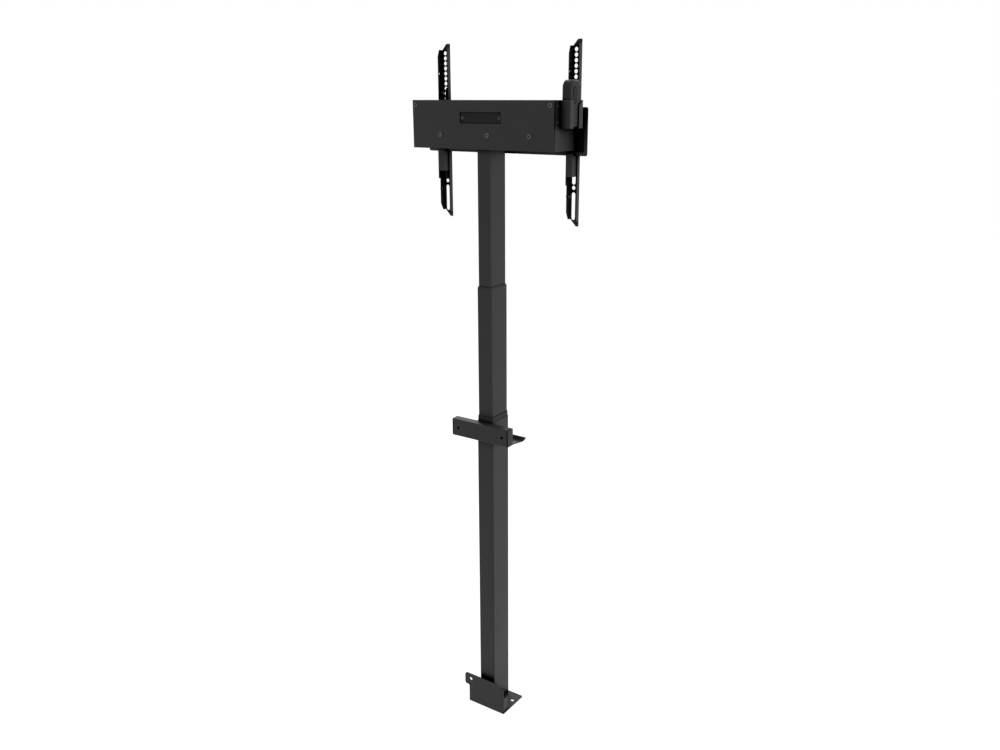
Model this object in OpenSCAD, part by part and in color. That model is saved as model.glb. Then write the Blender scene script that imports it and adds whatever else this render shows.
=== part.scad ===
// Floor and wall fixed lift for a television: a three-stage telescopic column
// with a head box, a TV rail, two hooked TV arms and a holstered hand control.
// X runs along the rail, +Y points to the television, -Y to the wall and +Z up.
// The origin is on the floor, under the middle of the column.
// The column is drawn raised, as in use.

/* [Column] */
// Width of the base tube, along X
base_tube_w = 50; // [46:1:60]
// Depth of the base tube, along Y
base_tube_d = 80; // [76:1:86]
// Length of the base tube
base_tube_len = 900; // [880:5:960]
// Wall of all three tubes
tube_wall = 1.5; // [1.2:0.1:1.8]
// Outer corner radius of all three tubes
tube_corner = 4; // [3:0.5:5]
// Gap between one tube and the next, on each side
tube_gap = 1; // [0.9:0.05:1.2]
// Travel of each of the two moving stages
stage_travel = 350; // [250:5:350]
// Length of the middle tube
mid_tube_len = 518; // [514:1:540]
// Length of the upper tube
upper_tube_len = 506; // [500:1:530]
// Height of the plastic collar above the base tube
base_collar_h = 14; // [8:1:14]
// Height of the plastic rim on the middle tube
mid_collar_h = 4; // [2:0.5:6]
// Overlap of the middle tube inside the base tube, column raised
base_overlap = 153; // [122:1:160]
// Overlap of the upper tube inside the middle tube, column raised
upper_overlap = 138; // [122:1:142]

/* [Lifting screws] */
// Outer diameter of the standpipes that carry the nuts
pipe_od = 30; // [28:1:32]
// Bore of the standpipes
pipe_id = 26; // [25:0.5:26.5]
// Diameter of the lower spindle
lower_spindle_d = 20; // [18:1:21]
// Diameter of the upper spindle
upper_spindle_d = 16; // [15:1:18]
// Width across the flats of the drive shaft
shaft_flats = 8; // [7:0.5:9]
// Height of a lifting nut's head
nut_head = 25; // [20:1:26]
// Running clearance of a spindle in its nut, on the radius
spindle_clear = 0.05; // [0.02:0.01:0.1]

/* [Foot bracket] */
// Sheet thickness of the foot bracket
foot_sheet = 3; // [2.5:0.5:4]
// Left end of the foot bracket's front plate
foot_left = -55; // [-58:1:-52]
// Outer face of the foot bracket's right flange
foot_right = 65.5; // [62:0.5:70]
// Outer face of the foot bracket's front plate
foot_front = -54.4; // [-58:0.2:-50]
// Back edge of the floor plate
foot_back = 44.5; // [41:0.5:60]
// Right margin of the floor plate outside the flange
floor_margin = 2; // [1:0.5:4]
// How much wider the floor plate is at its back than at its front
floor_flare = 4; // [0:0.5:6]
// Height of the high left part of the front plate
foot_high = 93.5; // [90:0.5:100]
// Height of the right part of the front plate, up to its bend
foot_mid = 81; // [70:0.5:84]
// Place of the step between the two heights along X
foot_step = 43; // [38:0.5:46]
// Outer radius of the bend between the front plate and the right flange
foot_bend = 5; // [4:0.5:7]
// Height of the right flange at the bend
flange_h = 50; // [40:1:56]
// Slope of the flange's upper edge, as the height that it loses
flange_slope = 7; // [0:1:10]
// Length of the right flange, from the front plate backwards
flange_len = 28; // [24:1:34]
// Left end of the ear
ear_left = -70; // [-76:1:-66]
// Lower edge of the ear
ear_low = 55.5; // [50:0.5:60]
// Diameter of the wall hole in the ear
ear_hole_d = 10.5; // [6:0.5:11]
// Place of the wall hole along X
ear_hole_x = -49.5; // [-56:0.5:-46]
// Height of the wall hole
ear_hole_z = 77; // [72:0.5:80]
// Diameter of the hole in the floor plate
floor_hole_d = 11; // [6:0.5:11]
// Place of the floor hole along X
floor_hole_x = 56; // [50:0.2:58]
// Place of the floor hole along Y
floor_hole_y = 12; // [0:0.2:24]

/* [Wall bar] */
// Length of the wall bar, along X
bar_len = 182; // [170:1:190]
// Height of the wall bar
bar_h = 48; // [42:1:50]
// Depth of the wall bar, along Y
bar_d = 25; // [22:1:27]
// Wall of the bar's tube
bar_wall = 2; // [1.5:0.5:2.5]
// Distance between the two wall holes
bar_hole_gap = 142; // [130:1:150]
// Diameter of the wall holes
bar_hole_d = 8; // [6:0.5:10]
// Thickness of the end caps' flange
cap_flange = 3; // [2:0.5:4]
// Width of the groove between the bar and the end caps' flange
cap_groove = 1.2; // [0.6:0.1:1.6]
// Distance of the rear upstand behind the column's middle plane
bracket_back = 3; // [2:1:8]

/* [Head box] */
// Width of the head box
box_w = 416; // [404:1:418]
// Height of the column's top above the cover plate's lower edge
box_drop = 18; // [15:1:18]
// Height of the cover plate
box_h = 117; // [114:1:120]
// Sheet thickness of the head box
box_sheet = 2; // [1.5:0.25:2]
// Front face of the cover plate
cover_front = -48.4; // [-49:0.1:-48]
// Width of the groove between the cover plate and the chassis
cover_gap = 1.8; // [1:0.1:2]
// Back face of the chassis, where the rail is mounted
chassis_back = 50; // [49:0.5:51]
// Length of the slot in the cover plate
slot_len = 122; // [110:1:124]
// Height of the slot in the cover plate
slot_h = 27.5; // [24:0.5:30]
// Height of the slot's middle above the cover plate's lower edge
slot_rise = 75.3; // [74:0.1:77]
// Distance between the two screws in the slot plate
slot_screw_gap = 108; // [96:1:112]
// Places of the three lower cover screws along X
low_screws_x = [-122, 20.5, 141];
// Height of the three lower screws above the cover plate's lower edge
low_screws_rise = 34; // [32:0.5:38]
// Distance between the two upper cover screws
top_screw_gap = 396; // [390:1:397]
// Depth of the two upper screws below the cover plate's upper edge
top_screws_drop = 12; // [10:0.5:14]
// Size of the cover screws' pan heads, across
cover_head_d = 10; // [7:0.5:10]

/* [TV rail] */
// Length of the rail
rail_len = 480; // [470:1:500]
// Reach of the rail's lower lip below the cover plate
rail_drop = 13.4; // [12:0.1:14]
// Height of the rail over its lips
rail_h = 114.4; // [112:0.1:115]
// Height of each lip
rail_lip = 8.6; // [7:0.1:10]
// Depth of the rail's trough
rail_depth = 14; // [13:0.5:14]
// Sheet thickness of the rail
rail_sheet = 2; // [1.5:0.25:2]
// Distance between the rail's spacers along X
spacer_gap_x = 120; // [110:1:130]
// Distance between the rail's spacers along Z
spacer_gap_z = 60; // [50:1:64]
// Diameter of the spacers
spacer_d = 20; // [16:1:22]

/* [TV arms] */
// Distance from the rail's ends to each arm's line of holes
arm_inset = 45; // [44:1:50]
// Plane of the arms' faces that meet the television
arm_face = 78; // [78:0.5:80]
// Sheet thickness of the arms
arm_sheet = 2.3; // [2:0.1:2.4]
// Reach of the arms below the rail
arm_drop = 173.6; // [170:0.1:178]
// Length of the arms
arm_len = 443; // [438:1:460]
// Depth of the arms' side web
arm_web = 24; // [23:0.5:25]
// Depth of the arms' other lip
arm_lip = 12; // [10:0.5:12]
// Distance from the hole line to the web's inner face
web_in = 6; // [5.8:0.1:6.5]
// Distance from the hole line to the lip's outer face
lip_out = 15; // [14.5:0.1:16]
// Diameter of the television screw holes
tv_hole_d = 10; // [8:0.5:10]
// Pitch of the television screw holes
tv_hole_pitch = 12.5; // [12:0.25:13]
// Distance from the arms' upper end to the topmost screw hole
tv_hole_inset = 23; // [22:1:26]
// Height of the single low screw hole above the arms' lower end
tv_hole_rise = 95; // [94:1:97]
// Width of the arms' long slots
arm_slot_w = 10.6; // [8:0.2:11]
// Height of the small round hole in the arms' web, below the arms' upper end
web_hole_drop = 73.5; // [70:0.5:78]
// Height of the latch pin above the arms' lower end
latch_pin_rise = 75; // [73:1:77]
// Place of the latch pin along Y
latch_pin_y = 60; // [60:0.5:61]
// Diameter of the latch pin
latch_pin_d = 6; // [4:0.5:6]
// Sheet thickness of the hooks and latches
hook_sheet = 2; // [1.5:0.25:2]
// Side clearance of the hooks and latches in the arm
hook_clear = 0.3; // [0.2:0.05:0.5]

/* [Hand control] */
// Thickness of the hand control
handset_t = 22.5; // [21:0.5:23]
// Width of the hand control
handset_w = 55; // [52:1:56]
// Length of the hand control
handset_len = 107; // [100:1:112]
// Sheet thickness of the holster
holster_sheet = 2; // [1.5:0.25:2]
// Height of the holster's lower edge above the cover plate's
holster_rise = 53; // [50:1:56]
// Height of the holster
holster_h = 66; // [62:1:68]
// Middle of the hand control along Y
handset_y = 6.5; // [6:0.5:7]
// Side clearance of the hand control in the holster
handset_clear = 0.6; // [0.4:0.1:0.8]
// Width of the rocker
rocker_w = 15; // [12:0.5:16]
// Length of the rocker
rocker_len = 38; // [30:1:40]
// Distance from the hand control's upper end to the rocker's middle
rocker_drop = 34.3; // [32:0.1:36]

/* [Hidden] */
$fn = 48;

// Small distance by which a cut runs past a face
past = 1;
// Steps of a rounded corner
corner_steps = 5;
// Gap between two pieces that seat on each other without a fit
seat_gap = 0.1;

// Column, from the floor up
tube_foot = foot_sheet;
base_top = tube_foot + base_tube_len;
base_in_w = base_tube_w - 2 * tube_wall;
base_in_d = base_tube_d - 2 * tube_wall;
mid_w = base_in_w - 2 * tube_gap;
mid_d = base_in_d - 2 * tube_gap;
mid_in_w = mid_w - 2 * tube_wall;
mid_in_d = mid_d - 2 * tube_wall;
upper_w = mid_in_w - 2 * tube_gap;
upper_d = mid_in_d - 2 * tube_gap;
upper_in_w = upper_w - 2 * tube_wall;
upper_in_d = upper_d - 2 * tube_wall;
inner_corner = tube_corner - tube_wall;
mid_foot = base_top - base_overlap;
bearing_flange = 3;
bearing_foot = mid_foot - bearing_flange;
bearing_plug = 22;
bearing_top = mid_foot + bearing_plug;
mid_top = mid_foot + mid_tube_len;
upper_foot = mid_top - upper_overlap;
upper_top = upper_foot + upper_tube_len;
slide_clear = 0.3;
collar_skirt = 20;
glide_len = 100;
glide_w = 16;
glide_t = tube_gap - slide_clear;

// Lifting screws
nut_spare = 13;
lower_nut_top = bearing_foot - stage_travel - nut_spare;
lower_nut_foot = lower_nut_top - nut_head;
upper_nut_seat = 2;
upper_nut_foot = upper_foot + upper_nut_seat;
upper_nut_top = upper_nut_foot + nut_head;
nut_spigot = 12;
journal_d = 14;
collar_d = 22;
collar_t = 6;
journal_slack = 0.25;
spindle_below_nut = 2;
shaft_reach = 40;
shaft_room = 12;
shaft_top = upper_nut_foot - spindle_below_nut + shaft_reach;
hex_clear = 0.2;

// Base plate and plug
plug_h = 20;
foot_screw_x = 16;
foot_screw_y = 31;
foot_screw_d = 6;
foot_head_d = 11.6;
foot_screw_len = 18;

// Wall bar
bar_top = base_top;
bar_low = bar_top - bar_h;
bar_back = -base_tube_d / 2;
bar_front = bar_back - bar_d;
bar_mid_z = bar_low + bar_h / 2;
bar_corner = 2.5;
cap_plug = 10;
cap_neck_inset = 1.2;
bar_tube_len = bar_len - 2 * (cap_flange + cap_groove);
bracket_sheet = 3;
bracket_drop = 2;
bracket_low = bar_low - bracket_drop;
bracket_front_h = 40;
bracket_upstand = 13;
bracket_room = 2;
bracket_in = base_tube_w / 2 + bracket_room;
bracket_inset = 8;
bracket_root = bar_len / 2 - bracket_inset;
bracket_reach = 6;
bracket_out = bar_len / 2 + bracket_reach;
bracket_tip = 8;
bracket_tip_h = 3;
bar_screw_x = 45;
bar_screw_d = 6;
bar_screw_head = 11;
bar_screw_head_h = 4;
bar_screw_len = 14;

// Head box
box_low = upper_top - box_drop;
box_top = box_low + box_h;
slot_z = box_low + slot_rise;
low_screws_z = box_low + low_screws_rise;
top_screws_z = box_top - top_screws_drop;
cover_back = cover_front + box_sheet;
wall_x = box_w / 2;
head_plate_low = upper_top;
head_plate_t = 5;
head_plate_top = head_plate_low + head_plate_t;
head_plate_w = 170;
head_plate_front = -38;
head_flange_h = 34;
insert_h = 25;
head_screw_x = 11;
head_screw_y = 28;
head_screw_d = 6;
head_screw_head = 10;
head_screw_head_h = 4;
head_screw_grip = 18;
flange_screw_x = 70;
flange_screw_rise = 15;
flange_screw_z = head_plate_top + flange_screw_rise;
nut_room = 2;
tab_w = 18;
tab_h = 20;
bar_strip_h = 24;
bar_strip_d = 16;
slot_plate_t = 1.5;
cover_corner = 0.8;
slot_plate_lap_x = 8;
slot_plate_lap_z = 5;
cover_screw_d = 4;
cover_screw_len = 6;
screw_head_h = 2.4;
slot_head_d = 8;
slot_head_h = 1.6;
recess_w = 1.2;

// Gear motor
gearbox_w = 60;
gearbox_d = 56;
gearbox_h = 46;
motor_d = 46;
motor_len = 105;
motor_cap = 14;
motor_cap_step = 4;
motor_bolt_d = 4;
motor_rise = 24;
motor_z = head_plate_top + motor_rise;
gear_corner = 6;
gear_seat = 6;
gear_roof = 10;

// Control box
control_step = 5;
control_x = head_plate_w / 2 + control_step;
control_w = 110;
control_h = 62;
control_depth = 38;
control_rise = 36;
control_low = box_low + control_rise;
control_foot = 10;
control_corner = 4;
control_foot_t = 4;
control_foot_rise = 10;
control_foot_low = control_low + control_foot_rise;
control_foot_h = 20;
inlet_step = 24;
inlet_x = control_x + inlet_step;
inlet_w = 24;
inlet_wall = 8;
inlet_deep = 12;

// TV rail
rail_low = box_low - rail_drop;
rail_top = rail_low + rail_h;
rail_to_face = 6;
rail_front = arm_face - rail_to_face - rail_depth;
rail_back = rail_front + rail_depth;
rail_mid_z = rail_low + rail_h / 2;
trough_low = rail_low + rail_lip;
trough_top = rail_top - rail_lip;
rail_end = 8.6;
rail_bolt_d = 8;
rail_bolt_head = 14;
rail_bolt_head_h = 3.5;
rail_nut_h = 6.5;
rail_nut_d = 15;
rail_corner = 5;
bolt_tail = 1;

// Arms
arm_x = rail_len / 2 - arm_inset;
arm_low = rail_low - arm_drop;
arm_top = arm_low + arm_len;
tv_hole_top = arm_top - tv_hole_inset;
tv_hole_count = 11;
tv_hole_single = arm_low + tv_hole_rise;
low_slot_rise = 15.5;
low_slot_foot = arm_low + low_slot_rise;
low_slot_drop = 11;
low_slot_top = tv_hole_single - low_slot_drop;
high_slot_rise = 8;
high_slot_foot = tv_hole_single + high_slot_rise;
high_slot_drop = 8.6;
high_slot_top = rail_low - high_slot_drop;
latch_pin_z = arm_low + latch_pin_rise;
web_hole_z = arm_top - web_hole_drop;
web_hole_d = 5.5;
web_top_drop = 16;
web_top = arm_top - web_top_drop;
web_low_rise = 19;
web_low = arm_low + web_low_rise;
web_front = arm_face - arm_web;
web_hole_step = 4;
web_hole_y = web_front + web_hole_step;
arm_corner = 6;
lip_front = arm_face - arm_lip;
web_outer = web_in + arm_sheet;
lip_in = lip_out - arm_sheet;
notch_gap = 2.6;
notch_room = 0.3;
notch_back = rail_back + notch_room;
notch_low = rail_low - notch_gap;
notch_top = rail_top + notch_gap;
channel_back = arm_face - arm_sheet;
lip_pocket = 0.4;
hook_left = -web_in + hook_clear;
hook_right = lip_in - hook_clear;
hook_rear = channel_back - hook_clear;
hook_step_rise = 12;
hook_step = rail_top + hook_step_rise;
hook_rise = 34;
hook_top = hook_step + hook_rise;
hook_low = trough_top + rail_sheet + lip_pocket;
hook_nose_drop = 13;
hook_nose_low = rail_top - hook_nose_drop;
hook_nose_reach = 2;
hook_nose_front = web_front - hook_nose_reach;
hook_shoulder_step = 8;
hook_shoulder = web_front + hook_shoulder_step;
hook_hole_d = tv_hole_d + 1;
latch_reach = 10;
latch_base = web_front - latch_reach;
latch_front_rise = 48.5;
latch_base_low = latch_pin_z + latch_front_rise;
latch_side_rise = 27.5;
latch_side_low = latch_pin_z + latch_side_rise;
latch_top_rise = 7;
latch_top = rail_low + latch_top_rise;
latch_shelf_drop = 1;
latch_shelf = rail_low - latch_shelf_drop;
tongue_front_step = 4;
tongue_front = latch_pin_y - tongue_front_step;
tongue_back_step = 6;
tongue_back = latch_pin_y + tongue_back_step;
tongue_drop = 6;
tongue_foot = latch_pin_z - tongue_drop;
pin_clear = 0.05;
pin_head_d = latch_pin_d + 4;
pin_head_h = 1.5;
pin_end = hook_left + hook_sheet + hook_clear;
rivet_d = 5;
rivet_head_d = 8;
rivet_head_h = 1.2;
rivet_step = 8;
rivet_y = channel_back - rivet_step;
low_rivet_rise = 7;
high_rivet_rise = 35;
rivet_zs = [rail_top + low_rivet_rise, rail_top + high_rivet_rise];

// Hand control and holster
holster_low = box_low + holster_rise;
holster_back = wall_x + holster_sheet;
handset_slack = 0.3;
handset_rear = holster_back + handset_slack;
handset_pad = 2;
handset_left = handset_rear + handset_pad;
handset_face = handset_left + handset_t;
handset_front_y = handset_y - handset_w / 2;
handset_back_y = handset_y + handset_w / 2;
handset_foot = holster_low + holster_sheet + handset_slack;
handset_top = handset_foot + handset_len;
rocker_z = handset_top - rocker_drop;
shell_front_t = 9;
shell_split = handset_left + shell_front_t;
ridge_y = 16;
ridge_w = 4;
face_clear = 0.7;
holster_face = handset_face + face_clear;
holster_out = holster_face + holster_sheet;
holster_near = handset_front_y - handset_clear;
holster_far = handset_back_y + handset_clear;
holster_foot = 20;
holster_top_drop = 2;
holster_top = holster_low + holster_h - holster_top_drop;
holster_screw_y = holster_near - holster_sheet - holster_foot / 2;
holster_screw_inset = 14;
holster_screw_zs = [holster_low + holster_screw_inset, holster_top - holster_screw_inset];
holster_shelf = 14;
lip_near = 14;
lip_far = 15;
lip_slope = 10;
rocker_gap = 0.4;
rocker_deep = 5;
rocker_proud = 0.6;
rocker_y = 0;

function unit(v) = v / norm(v);
function turned(v, a) = [v.x * cos(a) - v.y * sin(a), v.x * sin(a) + v.y * cos(a)];

// Points of one corner b between a and c, rounded to the radius r
function corner(a, b, c, r) =
    r == 0 ? [b] :
    let (
        u = unit(a - b),
        v = unit(c - b),
        half = acos(u * v) / 2,
        centre = b + unit(u + v) * r / sin(half),
        start = b + u * r / tan(half) - centre,
        side = cross(u, v) > 0 ? -1 : 1,
        sweep = side * (180 - 2 * half)
    )
    [for (i = [0 : corner_steps]) centre + turned(start, sweep * i / corner_steps)];

// Outline with a radius at each point, given as [x, y, radius]
function rounded(p) = [
    for (i = [0 : len(p) - 1])
        let (n = len(p), a = p[(i + n - 1) % n], b = p[i], c = p[(i + 1) % n])
        each corner([a.x, a.y], [b.x, b.y], [c.x, c.y], b.z)
];

function box_outline(w, d, r) = rounded([
    [-w / 2, -d / 2, r],
    [w / 2, -d / 2, r],
    [w / 2, d / 2, r],
    [-w / 2, d / 2, r]
]);

// Upright block with rounded vertical corners, centred on the column
module post(w, d, r, low, high) {
    translate([0, 0, low])
        linear_extrude(high - low)
            polygon(box_outline(w, d, r));
}

// Upright rectangular tube
module tube(w, d, in_w, in_d, r, in_r, low, high) {
    difference() {
        post(w, d, r, low, high);
        post(in_w, in_d, in_r, low - past, high + past);
    }
}

// Upright round bar
module rod(d, low, high) {
    translate([0, 0, low])
        cylinder(d = d, h = high - low);
}

// Round bar along Y, from y0 to y1
module rod_y(d, x, z, y0, y1) {
    translate([x, y1, z])
        rotate([90, 0, 0])
            cylinder(d = d, h = y1 - y0);
}

// Round bar along X, from x0 to x1
module rod_x(d, y, z, x0, x1) {
    translate([x0, y, z])
        rotate([0, 90, 0])
            cylinder(d = d, h = x1 - x0);
}

// Block between two corners
module block(x0, y0, z0, x1, y1, z1) {
    translate([x0, y0, z0])
        cube([x1 - x0, y1 - y0, z1 - z0]);
}

// Sheet with an outline in X and Z, from y0 to y1
module sheet_xz(points, y0, y1) {
    translate([0, y1, 0])
        rotate([90, 0, 0])
            linear_extrude(y1 - y0)
                polygon(points);
}

// Sheet with an outline in Y and Z, from x0 to x1
module sheet_yz(points, x0, x1) {
    translate([x0, 0, 0])
        rotate([90, 0, 90])
            linear_extrude(x1 - x0)
                polygon(points);
}

// Countersunk screw pointing up, its head flush at the height z
module countersunk_up(z, d, head_d, len) {
    translate([0, 0, z]) {
        cylinder(d1 = head_d, d2 = d, h = (head_d - d) / 2);
        cylinder(d = d, h = len);
    }
}

// Pan head with a cross recess, on a shank that points to +Y
module pan_screw_y(d, head_d, head_h, x, z, face, shank) {
    difference() {
        union() {
            rod_y(head_d, x, z, face - head_h, face);
            rod_y(d, x, z, face - head_h / 2, face + shank);
        }
        for (a = [0, 90])
            translate([x, face - head_h, z])
                rotate([0, a, 0])
                    cube([head_d / 2, head_h, recess_w], center = true);
    }
}

module at_foot_screws() {
    for (x = [-foot_screw_x, foot_screw_x], y = [-foot_screw_y, foot_screw_y])
        translate([x, y, 0])
            children();
}

// Front plate of the foot bracket, with its ear and the step in its upper edge
function foot_outline() = rounded([
    [foot_left, 0, 0],
    [foot_right, 0, 0],
    [foot_right, foot_mid, 0],
    [foot_step + 6, foot_mid, 5],
    [foot_step, foot_high, 5],
    [ear_left, foot_high, 7],
    [ear_left, ear_low, 6],
    [foot_left, ear_low, 4]
]);

// Plan of the front plate and the right flange, which are one bent sheet
function foot_plan() = rounded([
    [ear_left, foot_front, 0],
    [foot_right, foot_front, foot_bend],
    [foot_right, foot_front + flange_len, 0],
    [foot_right - foot_sheet, foot_front + flange_len, 0],
    [foot_right - foot_sheet, foot_front + foot_sheet, foot_bend - foot_sheet],
    [ear_left, foot_front + foot_sheet, 0]
]);

// Right flange behind the bend, its upper edge falling towards the back
function flange_outline() = rounded([
    [foot_front, 0, 0],
    [foot_front + flange_len, 0, 0],
    [foot_front + flange_len, flange_h - flange_slope, 5],
    [foot_front, flange_h, 0]
]);

module foot_bracket() {
    floor_right = foot_right + floor_margin;
    color("#303032")
    difference() {
        union() {
            linear_extrude(foot_sheet)
                polygon(rounded([
                    [foot_left, foot_front, 0],
                    [floor_right, foot_front, 1.5],
                    [floor_right + floor_flare, foot_back, 3],
                    [foot_left, foot_back, 4]
                ]));
            intersection() {
                linear_extrude(foot_high)
                    polygon(foot_plan());
                union() {
                    sheet_xz(foot_outline(), foot_front - past, foot_front + foot_bend);
                    sheet_yz(flange_outline(), foot_right - foot_sheet - past, foot_right + past);
                }
            }
        }
        rod_y(ear_hole_d, ear_hole_x, ear_hole_z, foot_front - past, foot_front + foot_sheet + past);
        translate([floor_hole_x, floor_hole_y, -past])
            cylinder(d = floor_hole_d, h = foot_sheet + 2 * past);
        at_foot_screws()
            countersunk_up(-0.01, foot_screw_d + 2 * seat_gap, foot_head_d + 2 * seat_gap, foot_sheet + past);
    }
}

module base_block() {
    color("#3a3a3c")
    difference() {
        post(base_in_w - 2 * seat_gap, base_in_d - 2 * seat_gap, inner_corner, tube_foot, tube_foot + plug_h);
        rod(pipe_od + 2 * seat_gap, tube_foot - past, tube_foot + plug_h + past);
        at_foot_screws()
            translate([0, 0, tube_foot - past])
                cylinder(d = foot_screw_d + seat_gap, h = plug_h + 2 * past);
    }
}

module foot_screws() {
    color("#6a6a6c")
    at_foot_screws()
        countersunk_up(0, foot_screw_d, foot_head_d, foot_screw_len);
}

module base_tube() {
    color("#2b2b2d")
    difference() {
        tube(base_tube_w, base_tube_d, base_in_w, base_in_d, tube_corner, inner_corner, tube_foot, base_top);
        for (x = [-bar_screw_x, bar_screw_x] / 3)
            rod_y(bar_screw_d + 2 * seat_gap, x, bar_mid_z, bar_back - past, bar_back + tube_wall + past);
    }
}

module base_pipe() {
    color("#8a8a8c")
    difference() {
        rod(pipe_od, tube_foot, lower_nut_foot);
        rod(pipe_id, tube_foot - past, lower_nut_foot + past);
    }
}

// Lifting nut: a head on top of the standpipe and a spigot inside it
module lifting_nut(foot, top, bore) {
    difference() {
        union() {
            rod(pipe_od, foot, top);
            rod(pipe_id - 2 * seat_gap, foot - nut_spigot, foot + past);
        }
        rod(bore, foot - nut_spigot - past, top + past);
    }
}

module lower_nut() {
    color("#d8d4c8")
    lifting_nut(lower_nut_foot, lower_nut_top, lower_spindle_d + 2 * spindle_clear);
}

module base_collar() {
    color("#1c1c1e")
    difference() {
        union() {
            post(base_tube_w - 2, base_tube_d - 2, tube_corner, base_top, base_top + base_collar_h);
            post(base_in_w - 2 * seat_gap, base_in_d - 2 * seat_gap, inner_corner,
                base_top - collar_skirt, base_top + past);
        }
        post(mid_w + 2 * slide_clear, mid_d + 2 * slide_clear, tube_corner,
            base_top - collar_skirt - past, base_top + base_collar_h + past);
    }
}

module wall_bar() {
    color("#2b2b2d")
    difference() {
        translate([0, (bar_front + bar_back) / 2, bar_mid_z])
            rotate([90, 0, 90])
                linear_extrude(bar_tube_len, center = true)
                    difference() {
                        polygon(box_outline(bar_d, bar_h, bar_corner));
                        polygon(box_outline(bar_d - 2 * bar_wall, bar_h - 2 * bar_wall, bar_corner / 2));
                    }
        for (x = [-bar_hole_gap / 2, bar_hole_gap / 2])
            rod_y(bar_hole_d, x, bar_mid_z, bar_front - past, bar_back + past);
        for (x = [-bar_screw_x, bar_screw_x], k = [1 / 3, 1])
            rod_y(bar_screw_d + 2 * seat_gap, x * k, bar_mid_z, bar_back - bar_wall - past, bar_back + past);
    }
}

// End cap of the wall bar: a flange, a narrower neck and a plug inside the tube
module bar_cap() {
    color("#1c1c1e")
    translate([0, (bar_front + bar_back) / 2, bar_mid_z])
        rotate([90, 0, 90]) {
            translate([0, 0, bar_len / 2 - cap_flange])
                linear_extrude(cap_flange)
                    polygon(box_outline(bar_d, bar_h, bar_corner));
            translate([0, 0, bar_tube_len / 2])
                linear_extrude(cap_groove + cap_flange / 2)
                    polygon(box_outline(bar_d - 2 * cap_neck_inset,
                        bar_h - 2 * cap_neck_inset, bar_corner / 2));
            translate([0, 0, bar_tube_len / 2 - cap_plug])
                linear_extrude(cap_plug + cap_groove)
                    difference() {
                        polygon(box_outline(bar_d - 2 * bar_wall - 2 * seat_gap,
                            bar_h - 2 * bar_wall - 2 * seat_gap, bar_corner / 2));
                        polygon(box_outline(bar_d - 4 * bar_wall, bar_h - 4 * bar_wall, bar_corner / 2));
                    }
        }
}

module bar_cap_right() {
    bar_cap();
}

module bar_cap_left() {
    mirror([1, 0, 0])
        bar_cap();
}

// Folded bracket behind the bar: a front leg on the bar, a shelf and an upstand
module bar_bracket() {
    color("#262628")
    difference() {
        union() {
            sheet_yz([
                [bar_back, bracket_low],
                [bracket_back, bracket_low],
                [bracket_back, bracket_low + bracket_upstand],
                [bracket_back - bracket_sheet, bracket_low + bracket_upstand],
                [bracket_back - bracket_sheet, bracket_low + bracket_sheet],
                [bar_back + bracket_sheet, bracket_low + bracket_sheet],
                [bar_back + bracket_sheet, bracket_low + bracket_front_h],
                [bar_back, bracket_low + bracket_front_h]
            ], bracket_in, bar_tube_len / 2 - 1);
            sheet_xz(rounded([
                [bracket_root, bracket_low, 0],
                [bracket_out, bracket_low, 2],
                [bracket_out + bracket_tip, bracket_low + bracket_upstand - bracket_tip_h, 1],
                [bracket_out + bracket_tip - 2, bracket_low + bracket_upstand, 1],
                [bracket_root, bracket_low + bracket_upstand, 0]
            ]), bracket_back - bracket_sheet, bracket_back);
            translate([0, 0, bracket_low])
                linear_extrude(bracket_sheet)
                    polygon([
                        [bracket_root, bar_back + bracket_sheet],
                        [bracket_root + 3, bar_back + bracket_sheet],
                        [bracket_out, bracket_back - bracket_sheet],
                        [bracket_out, bracket_back],
                        [bracket_root, bracket_back]
                    ]);
        }
        rod_y(bar_screw_d + 2 * seat_gap, bar_screw_x, bar_mid_z,
            bar_back - past, bar_back + bracket_sheet + past);
        rod_y(bar_hole_d + 2, bar_hole_gap / 2, bar_mid_z, bar_back - past, bar_back + bracket_sheet + past);
    }
}

module bar_bracket_right() {
    bar_bracket();
}

module bar_bracket_left() {
    mirror([1, 0, 0])
        bar_bracket();
}

// Two screws join the bar to the column and two join the brackets to the bar
module bar_screws() {
    color("#6a6a6c") {
        for (x = [-bar_screw_x, bar_screw_x] / 3) {
            rod_y(bar_screw_d, x, bar_mid_z, bar_back - bar_wall, bar_back + tube_wall);
            rod_y(bar_screw_head, x, bar_mid_z, bar_back - bar_wall - bar_screw_head_h, bar_back - bar_wall);
        }
        for (x = [-bar_screw_x, bar_screw_x]) {
            rod_y(bar_screw_d, x, bar_mid_z, bar_back - bar_screw_len, bar_back + bracket_sheet);
            rod_y(bar_screw_head, x, bar_mid_z,
                bar_back + bracket_sheet, bar_back + bracket_sheet + bar_screw_head_h);
        }
    }
}

module mid_tube() {
    color("#2b2b2d")
    tube(mid_w, mid_d, mid_in_w, mid_in_d, tube_corner, inner_corner, mid_foot, mid_top);
}

module mid_collar() {
    color("#1c1c1e")
    difference() {
        union() {
            post(mid_w - 1, mid_d - 1, tube_corner, mid_top, mid_top + mid_collar_h);
            post(mid_in_w - 2 * seat_gap, mid_in_d - 2 * seat_gap, inner_corner,
                mid_top - collar_skirt, mid_top + past);
        }
        post(upper_w + 2 * slide_clear, upper_d + 2 * slide_clear, tube_corner,
            mid_top - collar_skirt - past, mid_top + mid_collar_h + past);
    }
}

// Glide strips, one pair on each wide side and one on each narrow side
module glides(w, d, foot) {
    for (s = [-1, 1]) {
        for (y = [-2, 2] * glide_w / 2)
            translate([s * (w + glide_t) / 2, y, foot + glide_len / 2])
                cube([glide_t, glide_w, glide_len], center = true);
        translate([0, s * (d + glide_t) / 2, foot + glide_len / 2])
            cube([glide_w, glide_t, glide_len], center = true);
    }
}

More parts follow.
